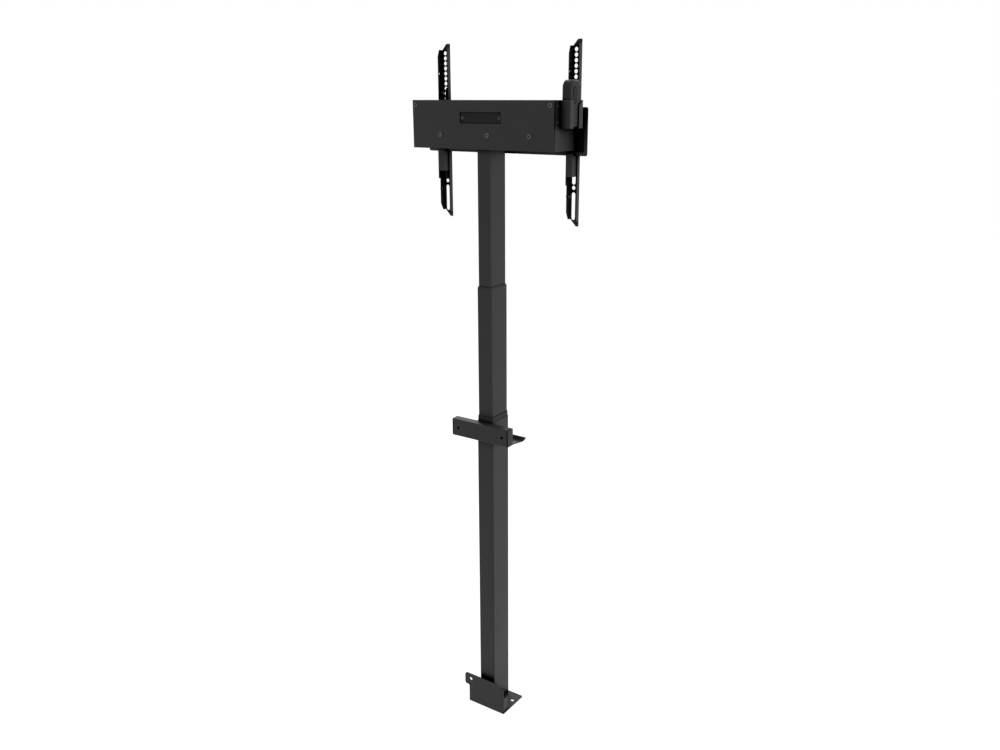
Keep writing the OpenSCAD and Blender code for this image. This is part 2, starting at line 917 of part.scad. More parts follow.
module mid_glides() {
    color("#d8d4c8")
    glides(mid_w, mid_d, mid_foot);
}

// Plug in the foot of the middle tube, with the lower spindle's bearing
module mid_bearing() {
    color("#3a3a3c")
    difference() {
        union() {
            post(mid_in_w - 2 * seat_gap, mid_in_d - 2 * seat_gap, inner_corner, mid_foot - 0.5, bearing_top);
            post(base_in_w - 2 * slide_clear, base_in_d - 2 * slide_clear, inner_corner,
                bearing_foot, mid_foot);
        }
        rod(journal_d + 2 * spindle_clear, bearing_foot - past, bearing_top + past);
    }
}

module mid_pipe() {
    color("#8a8a8c")
    difference() {
        rod(pipe_od, bearing_top, upper_nut_foot);
        rod(pipe_id, bearing_top - past, upper_nut_foot + past);
    }
}

module upper_nut() {
    color("#d8d4c8")
    lifting_nut(upper_nut_foot, upper_nut_top, upper_spindle_d + 2 * spindle_clear);
}

module lower_spindle() {
    color("#9a9a9c") {
        rod(lower_spindle_d, lower_nut_foot - spindle_below_nut, bearing_foot - journal_slack);
        rod(journal_d, bearing_foot - journal_slack, bearing_top + journal_slack);
    }
}

module drive_shaft() {
    color("#b0b0b2") {
        rod(collar_d, bearing_top + journal_slack, bearing_top + journal_slack + collar_t);
        translate([0, 0, bearing_top + journal_slack + collar_t])
            cylinder(d = shaft_flats / cos(30),
                h = shaft_top - bearing_top - journal_slack - collar_t, $fn = 6);
    }
}

module upper_spindle() {
    color("#9a9a9c")
    difference() {
        union() {
            rod(upper_spindle_d, upper_nut_foot - spindle_below_nut, head_plate_top + gear_seat);
            rod(journal_d - 2, head_plate_top + gear_seat, head_plate_top + gearbox_h - gear_roof);
        }
        translate([0, 0, upper_nut_foot - spindle_below_nut - past])
            cylinder(d = (shaft_flats + 2 * hex_clear) / cos(30),
                h = stage_travel + shaft_reach + shaft_room, $fn = 6);
    }
}

module upper_tube() {
    color("#2b2b2d")
    tube(upper_w, upper_d, upper_in_w, upper_in_d, tube_corner, inner_corner, upper_foot, upper_top);
}

module upper_glides() {
    color("#d8d4c8")
    glides(upper_w, upper_d, upper_foot);
}

module at_head_screws() {
    for (x = [-head_screw_x, head_screw_x], y = [-head_screw_y, head_screw_y])
        translate([x, y, 0])
            children();
}

// Insert in the top of the upper tube, which the head plate is screwed to
module top_insert() {
    color("#3a3a3c")
    difference() {
        post(upper_in_w - 2 * seat_gap, upper_in_d - 2 * seat_gap, inner_corner,
            upper_top - insert_h, upper_top);
        rod(pipe_od + 2, upper_top - insert_h - past, upper_top + past);
        at_head_screws()
            translate([0, 0, upper_top - insert_h - past])
                cylinder(d = head_screw_d + seat_gap, h = insert_h + 2 * past);
    }
}

// Plate on the column, with a flange that is screwed to the chassis
module head_plate() {
    color("#303032")
    difference() {
        union() {
            block(-head_plate_w / 2, head_plate_front, head_plate_low,
                head_plate_w / 2, chassis_back - box_sheet, head_plate_top);
            block(-head_plate_w / 2, chassis_back - box_sheet - head_plate_t, head_plate_low,
                head_plate_w / 2, chassis_back - box_sheet, head_plate_low + head_flange_h);
        }
        rod(pipe_od + 2, head_plate_low - past, head_plate_top + past);
        at_head_screws()
            translate([0, 0, head_plate_low - past])
                cylinder(d = head_screw_d + 2 * seat_gap, h = head_plate_t + 2 * past);
        at_rail_bolts()
            rod_y(rail_nut_d + 2 * nut_room, 0, 0,
                chassis_back - box_sheet - rail_nut_h - nut_room, chassis_back);
        for (x = [-flange_screw_x, flange_screw_x])
            rod_y(head_screw_d + 2 * seat_gap, x, flange_screw_z,
                chassis_back - box_sheet - head_plate_t - past, chassis_back);
    }
}

module head_screws() {
    seat = chassis_back - box_sheet - head_plate_t;
    color("#6a6a6c") {
        at_head_screws() {
            rod(head_screw_d, upper_top - head_screw_grip, head_plate_top + past);
            rod(head_screw_head, head_plate_top, head_plate_top + head_screw_head_h);
        }
        for (x = [-flange_screw_x, flange_screw_x]) {
            rod_y(head_screw_d, x, flange_screw_z, seat - past, chassis_back);
            rod_y(head_screw_head, x, flange_screw_z, seat - head_screw_head_h, seat);
        }
    }
}

module at_rail_bolts() {
    for (x = [-spacer_gap_x / 2, spacer_gap_x / 2], z = [-spacer_gap_z / 2, spacer_gap_z / 2])
        translate([x, 0, rail_mid_z + z])
            children();
}

// Folded tray: back, sides and top, with two tabs for the cover's upper screws
module chassis() {
    front = cover_back + cover_gap;
    tab_d = cover_gap + box_sheet;
    color("#29292b")
    difference() {
        union() {
            difference() {
                block(-wall_x, front, box_low, wall_x, chassis_back, box_top);
                block(-wall_x + box_sheet, front - past, box_low - past,
                    wall_x - box_sheet, chassis_back - box_sheet, box_top - box_sheet);
            }
            for (s = [-1, 1])
                translate([s * (wall_x - box_sheet - tab_w / 2), cover_back + tab_d / 2,
                    box_top - box_sheet - tab_h / 2])
                    cube([tab_w + past, tab_d, tab_h + past], center = true);
        }
        at_rail_bolts()
            rod_y(rail_bolt_d + 2 * seat_gap, 0, 0, chassis_back - box_sheet - past, chassis_back + past);
        for (x = [-flange_screw_x, flange_screw_x])
            rod_y(head_screw_d + 2 * seat_gap, x, flange_screw_z,
                chassis_back - box_sheet - past, chassis_back + past);
        for (x = [-top_screw_gap / 2, top_screw_gap / 2])
            rod_y(cover_screw_d + 2 * seat_gap, x, top_screws_z, cover_back - past, cover_back + tab_d + past);
    }
}

// Strip between the side walls, which takes the cover's lower screws
module cover_bar() {
    color("#29292b")
    difference() {
        union() {
            block(-wall_x + box_sheet, cover_back, low_screws_z - bar_strip_h / 2,
                wall_x - box_sheet, cover_back + box_sheet, low_screws_z + bar_strip_h / 2);
            for (s = [-1, 1])
                translate([s * (wall_x - 1.5 * box_sheet), cover_back + bar_strip_d / 2, low_screws_z])
                    cube([box_sheet, bar_strip_d, bar_strip_h], center = true);
        }
        for (x = low_screws_x)
            rod_y(cover_screw_d + 2 * seat_gap, x, low_screws_z,
                cover_back - past, cover_back + box_sheet + past);
    }
}

module cover_plate() {
    color("#303032")
    difference() {
        sheet_xz(rounded([
            [-wall_x, box_low, cover_corner],
            [wall_x, box_low, cover_corner],
            [wall_x, box_top, cover_corner],
            [-wall_x, box_top, cover_corner]
        ]), cover_front, cover_back);
        block(-slot_len / 2, cover_front - past, slot_z - slot_h / 2,
            slot_len / 2, cover_back + past, slot_z + slot_h / 2);
        for (x = [-top_screw_gap / 2, top_screw_gap / 2])
            rod_y(cover_screw_d + 2 * seat_gap, x, top_screws_z, cover_front - past, cover_back + past);
        for (x = low_screws_x)
            rod_y(cover_screw_d + 2 * seat_gap, x, low_screws_z, cover_front - past, cover_back + past);
    }
}

module cover_screws() {
    color("#454547") {
        for (x = [-top_screw_gap / 2, top_screw_gap / 2])
            pan_screw_y(cover_screw_d, cover_head_d, screw_head_h,
                x, top_screws_z, cover_front, cover_screw_len);
        for (x = low_screws_x)
            pan_screw_y(cover_screw_d, cover_head_d, screw_head_h,
                x, low_screws_z, cover_front, cover_screw_len);
    }
}

// Plate behind the slot of the cover
module slot_plate() {
    color("#1c1c1e")
    difference() {
        block(-slot_len / 2 - slot_plate_lap_x, cover_back, slot_z - slot_h / 2 - slot_plate_lap_z,
            slot_len / 2 + slot_plate_lap_x, cover_back + slot_plate_t, slot_z + slot_h / 2 + slot_plate_lap_z);
        for (x = [-slot_screw_gap / 2, slot_screw_gap / 2])
            rod_y(cover_screw_d + 2 * seat_gap, x, slot_z, cover_back - past, cover_back + slot_plate_t + past);
    }
}

module slot_screws() {
    color("#454547")
    for (x = [-slot_screw_gap / 2, slot_screw_gap / 2])
        pan_screw_y(cover_screw_d, slot_head_d, slot_head_h, x, slot_z, cover_back, cover_screw_len);
}

// Worm gear housing over the column, with the upper spindle's bearing
module gearbox() {
    color("#4a4a4c")
    difference() {
        post(gearbox_w, gearbox_d, gear_corner, head_plate_top, head_plate_top + gearbox_h);
        rod(pipe_od + 2, head_plate_top - past, head_plate_top + 2);
        rod(upper_spindle_d + 2 * spindle_clear, head_plate_top, head_plate_top + gear_seat + journal_slack);
        rod(journal_d - 2 + 2 * spindle_clear, head_plate_top + gear_seat,
            head_plate_top + gearbox_h - gear_roof + journal_slack);
        at_head_screws()
            rod(head_screw_head + 1, head_plate_top - past, head_plate_top + head_screw_head_h + 1);
    }
}

module motor() {
    color("#4a4a4c")
    difference() {
        union() {
            rod_x(motor_d, 0, motor_z, -gearbox_w / 2 - motor_len, -gearbox_w / 2);
            rod_x(motor_d - 2 * motor_cap_step, 0, motor_z,
                -gearbox_w / 2 - motor_len - motor_cap, -gearbox_w / 2 - motor_len);
        }
        for (y = [-motor_d, motor_d] / 4)
            rod_x(motor_bolt_d, y, motor_z,
                -gearbox_w / 2 - motor_len - motor_cap - past, -gearbox_w / 2 - motor_len - motor_cap / 2);
    }
}

// Plastic box on the chassis back, with its screw feet and its power inlet
module control_box() {
    seat = chassis_back - box_sheet;
    color("#1c1c1e")
    difference() {
        union() {
            translate([control_x + control_w / 2, seat - control_depth / 2, control_low])
                linear_extrude(control_h)
                    polygon(box_outline(control_w - 2 * control_foot, control_depth, control_corner));
            block(control_x, seat - control_foot_t, control_foot_low,
                control_x + control_w, seat, control_foot_low + control_foot_h);
        }
        block(inlet_x, seat - control_depth + inlet_wall, control_low - past,
            inlet_x + inlet_w, seat - inlet_wall, control_low + inlet_deep);
        for (x = [control_x + control_foot / 2, control_x + control_w - control_foot / 2])
            rod_y(cover_screw_d, x, control_foot_low + control_foot_h / 2,
                seat - control_foot_t - past, chassis_back);
    }
}

// Pressed tray with its lips turned up and down, open towards the wall
module tv_rail() {
    color("#29292b")
    difference() {
        union() {
            sheet_xz(rounded([
                [-rail_len / 2, rail_low, rail_corner],
                [rail_len / 2, rail_low, rail_corner],
                [rail_len / 2, rail_top, rail_corner],
                [-rail_len / 2, rail_top, rail_corner]
            ]), rail_front, rail_front + rail_sheet);
            sheet_xz(rounded([
                [-rail_len / 2 + rail_end - rail_sheet, trough_low - rail_sheet, rail_corner],
                [rail_len / 2 - rail_end + rail_sheet, trough_low - rail_sheet, rail_corner],
                [rail_len / 2 - rail_end + rail_sheet, trough_top + rail_sheet, rail_corner],
                [-rail_len / 2 + rail_end - rail_sheet, trough_top + rail_sheet, rail_corner]
            ]), rail_front + rail_sheet / 2, rail_back);
        }
        sheet_xz(rounded([
            [-rail_len / 2 + rail_end, trough_low, rail_corner - rail_sheet],
            [rail_len / 2 - rail_end, trough_low, rail_corner - rail_sheet],
            [rail_len / 2 - rail_end, trough_top, rail_corner - rail_sheet],
            [-rail_len / 2 + rail_end, trough_top, rail_corner - rail_sheet]
        ]), rail_front - past, rail_back - rail_sheet);
        at_rail_bolts()
            rod_y(rail_bolt_d + 2 * seat_gap, 0, 0, rail_back - rail_sheet - past, rail_back + past);
    }
}

module rail_spacers() {
    color("#6a6a6c")
    at_rail_bolts()
        difference() {
            rod_y(spacer_d, 0, 0, chassis_back, rail_back - rail_sheet);
            rod_y(rail_bolt_d + 2 * seat_gap, 0, 0, chassis_back - past, rail_back);
        }
}

module rail_bolts() {
    color("#6a6a6c")
    at_rail_bolts() {
        rod_y(rail_bolt_d, 0, 0, chassis_back - box_sheet - rail_nut_h - bolt_tail, rail_back + past);
        rod_y(rail_bolt_head, 0, 0, rail_back, rail_back + rail_bolt_head_h);
        translate([0, chassis_back - box_sheet, 0])
            rotate([90, 0, 0])
                cylinder(d = rail_nut_d, h = rail_nut_h, $fn = 6);
    }
}

// Sheet holster on the right side wall: back, two sides, two front lips, a shelf
module holster() {
    color("#29292b")
    difference() {
        union() {
            block(wall_x, holster_near - holster_sheet - holster_foot, holster_low,
                holster_back, holster_far + holster_sheet, holster_top);
            block(wall_x, holster_near - holster_sheet, holster_low, holster_out, holster_near, holster_top);
            block(wall_x, holster_far, holster_low, holster_out, holster_far + holster_sheet, holster_top);
            sheet_yz(rounded([
                [holster_near - holster_sheet, holster_low, 0],
                [holster_near + lip_near, holster_low, 2],
                [holster_near + lip_near, holster_top, 4],
                [holster_near - holster_sheet, holster_top, 0]
            ]), holster_face, holster_out);
            sheet_yz(rounded([
                [holster_far - lip_far, holster_low, 2],
                [holster_far + holster_sheet, holster_low, 0],
                [holster_far + holster_sheet, holster_top, 0],
                [holster_far - lip_far, holster_top - lip_slope, 4]
            ]), holster_face, holster_out);
            block(wall_x, handset_y - holster_shelf, holster_low,
                handset_left + handset_t / 2, handset_y + holster_shelf, holster_low + holster_sheet);
        }
        for (z = holster_screw_zs)
            rod_x(cover_screw_d + 2 * seat_gap, holster_screw_y, z, wall_x - past, holster_back + past);
    }
}

module holster_screws() {
    color("#454547")
    for (z = holster_screw_zs) {
        rod_x(cover_screw_d, holster_screw_y, z, wall_x, holster_back + past);
        rod_x(slot_head_d, holster_screw_y, z, holster_back, holster_back + screw_head_h);
    }
}

// Web of an arm in Y and Z, notched for the rail
function arm_web_outline() = rounded([
    [arm_face, arm_low, 0],
    [arm_face, arm_top, 0],
    [arm_face - 6, web_top + 8, arm_corner],
    [web_front + 6, web_top, 3],
    [web_front, web_top - 16, 3],
    [web_front, notch_top, 1],
    [notch_back, notch_top, 1],
    [notch_back, notch_low, 1],
    [web_front, notch_low, 1],
    [web_front, web_low + 17, 2],
    [web_front + 9, web_low, 3]
]);

// Arm on the hole line x: a channel with its face to the television
module arm(x) {
    color("#262628")
    translate([x, 0, 0])
    difference() {
        union() {
            sheet_xz(rounded([
                [-web_outer, web_low - 1, 3],
                [web_in + 2, arm_low, arm_corner],
                [lip_out, arm_low, 1],
                [lip_out, arm_top, 1],
                [web_in - 2, arm_top, arm_corner],
                [-web_outer, web_top + 1, 3]
            ]), arm_face - arm_sheet, arm_face);
            intersection() {
                sheet_yz(arm_web_outline(), -web_outer, -web_in);
                block(-web_outer - past, web_front - past, web_low - 1, 0, arm_face, web_top + 1);
            }
            for (part = [[web_low - 6, notch_low], [notch_top, web_top + 6]])
                block(lip_in, lip_front, part[0], lip_out, arm_face, part[1]);
            block(lip_in, notch_back, notch_low - past, lip_out, arm_face, notch_top + past);
        }
        for (i = [0 : tv_hole_count - 1])
            rod_y(tv_hole_d, 0, tv_hole_top - i * tv_hole_pitch, channel_back - past, arm_face + past);
        rod_y(tv_hole_d, 0, tv_hole_single, channel_back - past, arm_face + past);
        arm_slot(low_slot_foot, low_slot_top);
        arm_slot(high_slot_foot, high_slot_top);
        rod_x(latch_pin_d, latch_pin_y, latch_pin_z, -web_outer - past, -web_in + past);
        rod_x(web_hole_d, web_hole_y, web_hole_z, -web_outer - past, 0);
        for (z = rivet_zs)
            rod_x(rivet_d, rivet_y, z, -web_outer - past, -web_in + past);
    }
}

module arm_slot(low, high) {
    half = arm_slot_w / 2;
    rod_y(arm_slot_w, 0, low + half, channel_back - past, arm_face + past);
    rod_y(arm_slot_w, 0, high - half, channel_back - past, arm_face + past);
    block(-half, channel_back - past, low + half, half, arm_face + past, high - half);
}

module left_arm() {
    arm(-arm_x);
}

module right_arm() {
    arm(arm_x);
}

// Side of the hook: over the rail's upper lip, with its nose in front of it
function hook_outline() = rounded([
    [hook_rear, hook_low, 0],
    [hook_rear, hook_top, 2],
    [hook_shoulder, hook_top, 3],
    [hook_shoulder - 4, hook_step, 3],
    [hook_nose_front, hook_step, 3],
    [hook_nose_front, hook_nose_low, 1],
    [rail_front - lip_pocket, hook_nose_low, 1],
    [rail_front - lip_pocket, rail_top + lip_pocket, 0.5],
    [rail_front + rail_sheet + lip_pocket, rail_top + lip_pocket, 0.5],
    [rail_front + rail_sheet + lip_pocket, hook_low, 0.5]
]);

// Hook in the arm's channel: two sides joined by a back on the arm
module hook(x) {
    color("#303032")
    translate([x, 0, 0])
    difference() {
        union() {
            sheet_yz(hook_outline(), hook_left, hook_left + hook_sheet);
            sheet_yz(hook_outline(), hook_right - hook_sheet, hook_right);
            block(hook_left, hook_rear - hook_sheet, hook_low + 1, hook_right, hook_rear, hook_top - 4);
        }
        for (i = [tv_hole_count - 3 : tv_hole_count - 1])
            rod_y(hook_hole_d, 0, tv_hole_top - i * tv_hole_pitch,
                hook_rear - hook_sheet - past, hook_rear + past);
        for (z = rivet_zs)
            rod_x(rivet_d, rivet_y, z, hook_left - past, hook_left + hook_sheet + past);
    }
}

module left_hook() {
    hook(-arm_x);
}

module right_hook() {
    hook(arm_x);
}

module hook_rivets(x) {
    color("#454547")
    translate([x, 0, 0])
    for (z = rivet_zs) {
        rod_x(rivet_d, rivet_y, z, -web_outer, hook_left + hook_sheet);
        rod_x(rivet_head_d, rivet_y, z, -web_outer - rivet_head_h, -web_outer);
        rod_x(rivet_head_d, rivet_y, z, hook_left + hook_sheet, hook_left + hook_sheet + rivet_head_h);
    }
}

module left_hook_rivets() {
    hook_rivets(-arm_x);
}

module right_hook_rivets() {
    hook_rivets(arm_x);
}

// Pin through the arm's web that the latch turns on
module latch_pin(x) {
    color("#454547")
    translate([x, 0, 0]) {
        rod_x(latch_pin_d, latch_pin_y, latch_pin_z, -web_outer, pin_end + past);
        rod_x(pin_head_d, latch_pin_y, latch_pin_z, -web_outer - pin_head_h, -web_outer);
        rod_x(pin_head_d, latch_pin_y, latch_pin_z, pin_end, pin_end + pin_head_h);
    }
}

module left_latch_pin() {
    latch_pin(-arm_x);
}

module right_latch_pin() {
    latch_pin(arm_x);
}

// Left side of the latch: a tongue on the pin, a body and a catch under the lower lip
function latch_outline() = rounded([
    [tongue_front, tongue_foot, 4],
    [tongue_back, tongue_foot, 4],
    [tongue_back, latch_shelf, 2],
    [rail_front - lip_pocket, latch_shelf, 0.5],
    [rail_front - lip_pocket, latch_top, 2],
    [latch_base, latch_top, 4],
    [latch_base, latch_side_low, 2],
    [tongue_front, latch_side_low, 1]
]);

// Right side of the latch, which ends with its front
function latch_short_outline() = rounded([
    [latch_base, latch_base_low, 0],
    [tongue_back, latch_base_low, 2],
    [tongue_back, latch_shelf, 2],
    [rail_front - lip_pocket, latch_shelf, 0.5],
    [rail_front - lip_pocket, latch_top, 2],
    [latch_base, latch_top, 4]
]);

module latch(x) {
    color("#303032")
    translate([x, 0, 0])
    difference() {
        union() {
            sheet_yz(latch_outline(), hook_left, hook_left + hook_sheet);
            sheet_yz(latch_short_outline(), hook_right - hook_sheet, hook_right);
            block(hook_left, latch_base, latch_base_low, hook_right, latch_base + hook_sheet, latch_top - 2);
        }
        rod_x(latch_pin_d + 2 * pin_clear, latch_pin_y, latch_pin_z,
            hook_left - past, hook_left + hook_sheet + past);
    }
}

module left_latch() {
    latch(-arm_x);
}

module right_latch() {
    latch(arm_x);
}

// Outline of the hand control in Y and Z, with its round shoulders
function handset_outline(inset) = rounded([
    [handset_front_y + inset, handset_foot + inset, 5],
    [handset_back_y - inset, handset_foot + inset, 5],
    [handset_back_y - inset, handset_top - inset, 14],
    [handset_front_y + inset, handset_top - inset, 14]
]);

// Rocker's outline, an upright oval
module rocker_shape(grow, x0, x1) {
    half = rocker_w / 2;
    reach = rocker_len / 2 - half;
    hull() {
        rod_x(rocker_w + 2 * grow, rocker_y, rocker_z - reach, x0, x1, $fn = 32);
        rod_x(rocker_w + 2 * grow, rocker_y, rocker_z + reach, x0, x1, $fn = 32);
    }
}

module handset_front() {
    color("#242426")
    difference() {
        hull() {
            sheet_yz(handset_outline(0), shell_split, handset_face - 5);
            sheet_yz(handset_outline(2), handset_face - 2, handset_face - 1.4);
            sheet_yz(handset_outline(5), handset_face - 0.4, handset_face);
        }
        rocker_shape(rocker_gap, handset_face - rocker_deep - 2, handset_face + past);
    }
}

// Rear shell, with two ridges that lean on the holster's back
module handset_back() {
    color("#202022")
    union() {
        hull() {
            sheet_yz(handset_outline(3), handset_left, handset_left + 0.5);
            sheet_yz(handset_outline(0), handset_left + 4, shell_split);
        }
        for (y = [-ridge_y, ridge_y])
            block(handset_rear, handset_y + y - ridge_w / 2, handset_foot + 8,
                handset_left + past, handset_y + y + ridge_w / 2, handset_top - 24);
    }
}

module rocker() {
    color("#303032")
    hull() {
        rocker_shape(-0.6, handset_face + rocker_proud - 1, handset_face + rocker_proud);
        rocker_shape(0, handset_face - rocker_deep + 0.5, handset_face - 0.6);
    }
}

foot_bracket();
base_block();
foot_screws();
base_tube();
base_pipe();
lower_nut();
base_collar();
wall_bar();
bar_cap_left();
bar_cap_right();
bar_bracket_left();
bar_bracket_right();
bar_screws();
mid_tube();
mid_collar();
mid_glides();
mid_bearing();
mid_pipe();
upper_nut();
lower_spindle();
drive_shaft();
upper_spindle();
upper_tube();
upper_glides();
top_insert();
head_plate();
head_screws();
chassis();
cover_bar();
cover_plate();
cover_screws();
slot_plate();
slot_screws();
gearbox();
motor();
control_box();
tv_rail();
rail_spacers();
rail_bolts();
holster();
holster_screws();
left_arm();
left_hook();
left_hook_rivets();
left_latch_pin();
right_arm();
right_hook();
right_hook_rivets();
right_latch_pin();
left_latch();
right_latch();
handset_front();
handset_back();
rocker();
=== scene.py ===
import math
import random
import bmesh
import bpy
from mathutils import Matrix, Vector


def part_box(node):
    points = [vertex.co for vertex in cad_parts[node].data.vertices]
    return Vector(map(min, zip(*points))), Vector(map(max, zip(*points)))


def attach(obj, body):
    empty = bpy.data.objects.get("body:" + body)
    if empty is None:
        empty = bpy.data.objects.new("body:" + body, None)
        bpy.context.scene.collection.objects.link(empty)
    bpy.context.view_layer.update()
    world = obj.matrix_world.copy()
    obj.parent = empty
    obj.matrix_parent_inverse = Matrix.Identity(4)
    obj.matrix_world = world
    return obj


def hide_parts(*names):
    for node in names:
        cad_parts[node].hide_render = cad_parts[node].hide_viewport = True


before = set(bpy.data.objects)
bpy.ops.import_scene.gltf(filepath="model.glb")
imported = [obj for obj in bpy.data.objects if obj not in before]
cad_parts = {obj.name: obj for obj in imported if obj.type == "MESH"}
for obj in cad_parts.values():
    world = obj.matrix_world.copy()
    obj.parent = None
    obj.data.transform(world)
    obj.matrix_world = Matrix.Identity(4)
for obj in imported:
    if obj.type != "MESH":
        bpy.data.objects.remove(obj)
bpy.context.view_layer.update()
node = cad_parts


# The foot bracket is one folded sheet of mild steel: a floor plate, a front plate
# and an ear, screwed to the floor and the wall. It is blasted and powder coated,
# which leaves a flat black skin with a fine orange peel and soft edges.
def linear(hex_colour):
    """An sRGB hex colour as linear red, green, blue and alpha."""
    parts = [int(hex_colour[i:i + 2], 16) / 255 for i in (1, 3, 5)]
    return [c / 12.92 if c <= 0.04045 else ((c + 0.055) / 1.055) ** 2.4 for c in parts] + [1]


def add(tree, kind, values=None, links=None, **settings):
    """A node with its settings, its inputs' values and what is linked into them."""
    made = tree.nodes.new(kind)
    for name, value in settings.items():
        setattr(made, name, value)
    for name, value in (values or {}).items():
        made.inputs[name].default_value = value
    for name, source in (links or {}).items():
        for one in source if isinstance(source, list) else [source]:
            tree.links.new(one, made.inputs[name])
    return made


# Clouds of this size in millimetres run over every finish. Its two colours lie at
# these stops of the clouds, and its roughness changes by this much each way.
CLOUD_MM = 110
CLOUD_STOPS = (0.35, 0.65)
ROUGHNESS_CHANGE = 0.04

# Painted shade in hollows: its colour, the dark tint it gives the sheen, and how metallic a coat is made
# there so that it reflects next to nothing.
PAINTED_SHADE_COLOUR = "#030303"
PAINTED_SHADE_TINT = "#303030"
PAINTED_SHADE_METALLIC = 0.9

# A Mix node's sockets for its two colours and for its result.
MIX_A = 6
MIX_B = 7
MIXED = 2


def coat(name, dark, light, roughness, grain_mm, depth_mm, edge_mm, metallic=0.0, specular=0.3,
         hollow_mm=35, black_at=0.45, open_at=0.9, alone=False):
    """A coated, moulded or drawn finish: two close colours in soft clouds, a fine grain
    that stands up from the surface, edges with a small radius, and painted shade: hollows
    are painted darker, as if little light got in and out of them.

    What stands within hollow_mm of a point takes from its share of open air. The painted
    shade is at its darkest where that share is black_at or less, and gone from open_at up.
    alone counts only the piece's own surfaces. The painted shade also takes the hollows'
    reflections away: there the coat is made a black metal, which reflects next to nothing."""
    finish = bpy.data.materials.new(name)
    finish.use_nodes = True
    tree = finish.node_tree
    shader = tree.nodes["Principled BSDF"]
    shader.inputs["Metallic"].default_value = metallic
    shader.inputs["Specular IOR Level"].default_value = specular

    place = add(tree, "ShaderNodeTexCoord").outputs["Object"]
    grain = add(tree, "ShaderNodeTexNoise", {"Scale": 1000 / grain_mm, "Detail": 2.0}, {"Vector": place})
    edge = add(tree, "ShaderNodeBevel", {"Radius": edge_mm / 1000}, samples=6)
    bump = add(tree, "ShaderNodeBump", {"Strength": 0.5, "Distance": depth_mm / 1000},
               {"Height": grain.outputs["Fac"], "Normal": edge.outputs["Normal"]})
    tree.links.new(bump.outputs["Normal"], shader.inputs["Normal"])

    cloud = add(tree, "ShaderNodeTexNoise", {"Scale": 1000 / CLOUD_MM, "Detail": 3.0}, {"Vector": place})
    rough = add(tree, "ShaderNodeMapRange",
                {"From Min": 0.3, "From Max": 0.7,
                 "To Min": roughness - ROUGHNESS_CHANGE, "To Max": roughness + ROUGHNESS_CHANGE},
                {"Value": cloud.outputs["Fac"]})
    tree.links.new(rough.outputs["Result"], shader.inputs["Roughness"])
    tint = add(tree, "ShaderNodeValToRGB", links={"Fac": cloud.outputs["Fac"]})
    for stop, position, colour in zip(tint.color_ramp.elements, CLOUD_STOPS, (dark, light)):
        stop.position = position
        stop.color = linear(colour)

    # Painted shade: occlusion darkens the colour and the sheen, and for non-metals makes the coat a black
    # metal in hollows.
    around = add(tree, "ShaderNodeAmbientOcclusion", {"Distance": hollow_mm / 1000},
                 samples=8, only_local=alone)
    unshaded_share = add(tree, "ShaderNodeMapRange", {"From Min": black_at, "From Max": open_at},
                   {"Value": around.outputs["AO"]}, interpolation_type="SMOOTHSTEP").outputs[0]
    colour = add(tree, "ShaderNodeMix", {MIX_A: linear(PAINTED_SHADE_COLOUR)},
                 {0: unshaded_share, MIX_B: tint.outputs["Color"]}, data_type="RGBA")
    tree.links.new(colour.outputs[MIXED], shader.inputs["Base Color"])
    shaded_sheen = add(tree, "ShaderNodeMix", {MIX_A: linear(PAINTED_SHADE_TINT), MIX_B: linear("#ffffff")},
                {0: unshaded_share}, data_type="RGBA")
    tree.links.new(shaded_sheen.outputs[MIXED], shader.inputs["Specular Tint"])
    if not metallic:
        shade_metallic = add(tree, "ShaderNodeMapRange", {"To Min": PAINTED_SHADE_METALLIC, "To Max": 0.0},
                   {"Value": unshaded_share})
        tree.links.new(shade_metallic.outputs[0], shader.inputs["Metallic"])
    return finish


def dress(material, *names):
    """Gives CAD nodes a finish."""
    for name in names:
        for slot in node[name].material_slots:
            slot.material = material


# Polyester powder: matt black, so that what the eye sees is mostly the pale room in
# its skin. The orange peel is 0.9 mm across and a few hundredths deep. The foot's coat
# gets painted shade only in the foot's own folds, and none where it meets the column.
POWDER = {"dark": "#19191a", "light": "#1d1d1e", "roughness": 0.46, "grain_mm": 0.9,
          "depth_mm": 0.05, "edge_mm": 0.6, "specular": 0.27}
foot_coat = coat("powder_coated_foot", **POWDER, hollow_mm=25, black_at=0.3, open_at=0.8, alone=True)
dress(foot_coat, "foot_bracket")


# A moulded block fills the foot of the column. Four countersunk screws go up into it
# through the floor plate.

# Black polyamide with a spark-eroded grain: rougher and a little darker than the
# powder coat around it.
# Its painted shade reaches 20 mm into hollows.
moulded_polyamide = coat("moulded_polyamide", "#151516", "#19191a", roughness=0.56, grain_mm=0.7,
                         depth_mm=0.04, edge_mm=0.4, specular=0.25,
                         hollow_mm=20, black_at=0.2, open_at=0.8)
dress(moulded_polyamide, "base_block")

# Zinc plate: bright, a little blue, slightly cloudy from the barrel.
zinc_plate = coat("zinc_plated_steel", "#a6a9ad", "#b8babd", roughness=0.34, grain_mm=0.8,
                  depth_mm=0.008, edge_mm=0.2, metallic=1.0)
dress(zinc_plate, "foot_screws")


# The column is three drawn steel sections, one inside the other, with the same black
# powder coat. They telescope, so their faces stay plain.
# Its painted shade reaches 45 mm into hollows.
powder_coat = coat("powder_coated_steel", **POWDER, hollow_mm=45, black_at=0.45, open_at=0.9)
dress(powder_coat, "base_tube", "mid_tube", "upper_tube")


# Moulded collars sit on the rims of the two outer tubes. A plug in the foot of the
# middle tube holds a spindle's bearing, and an insert in the top of the inner one takes
# the head plate's screws. Strips of acetal keep the tubes apart.
dress(moulded_polyamide, "base_collar", "mid_bearing", "top_insert")

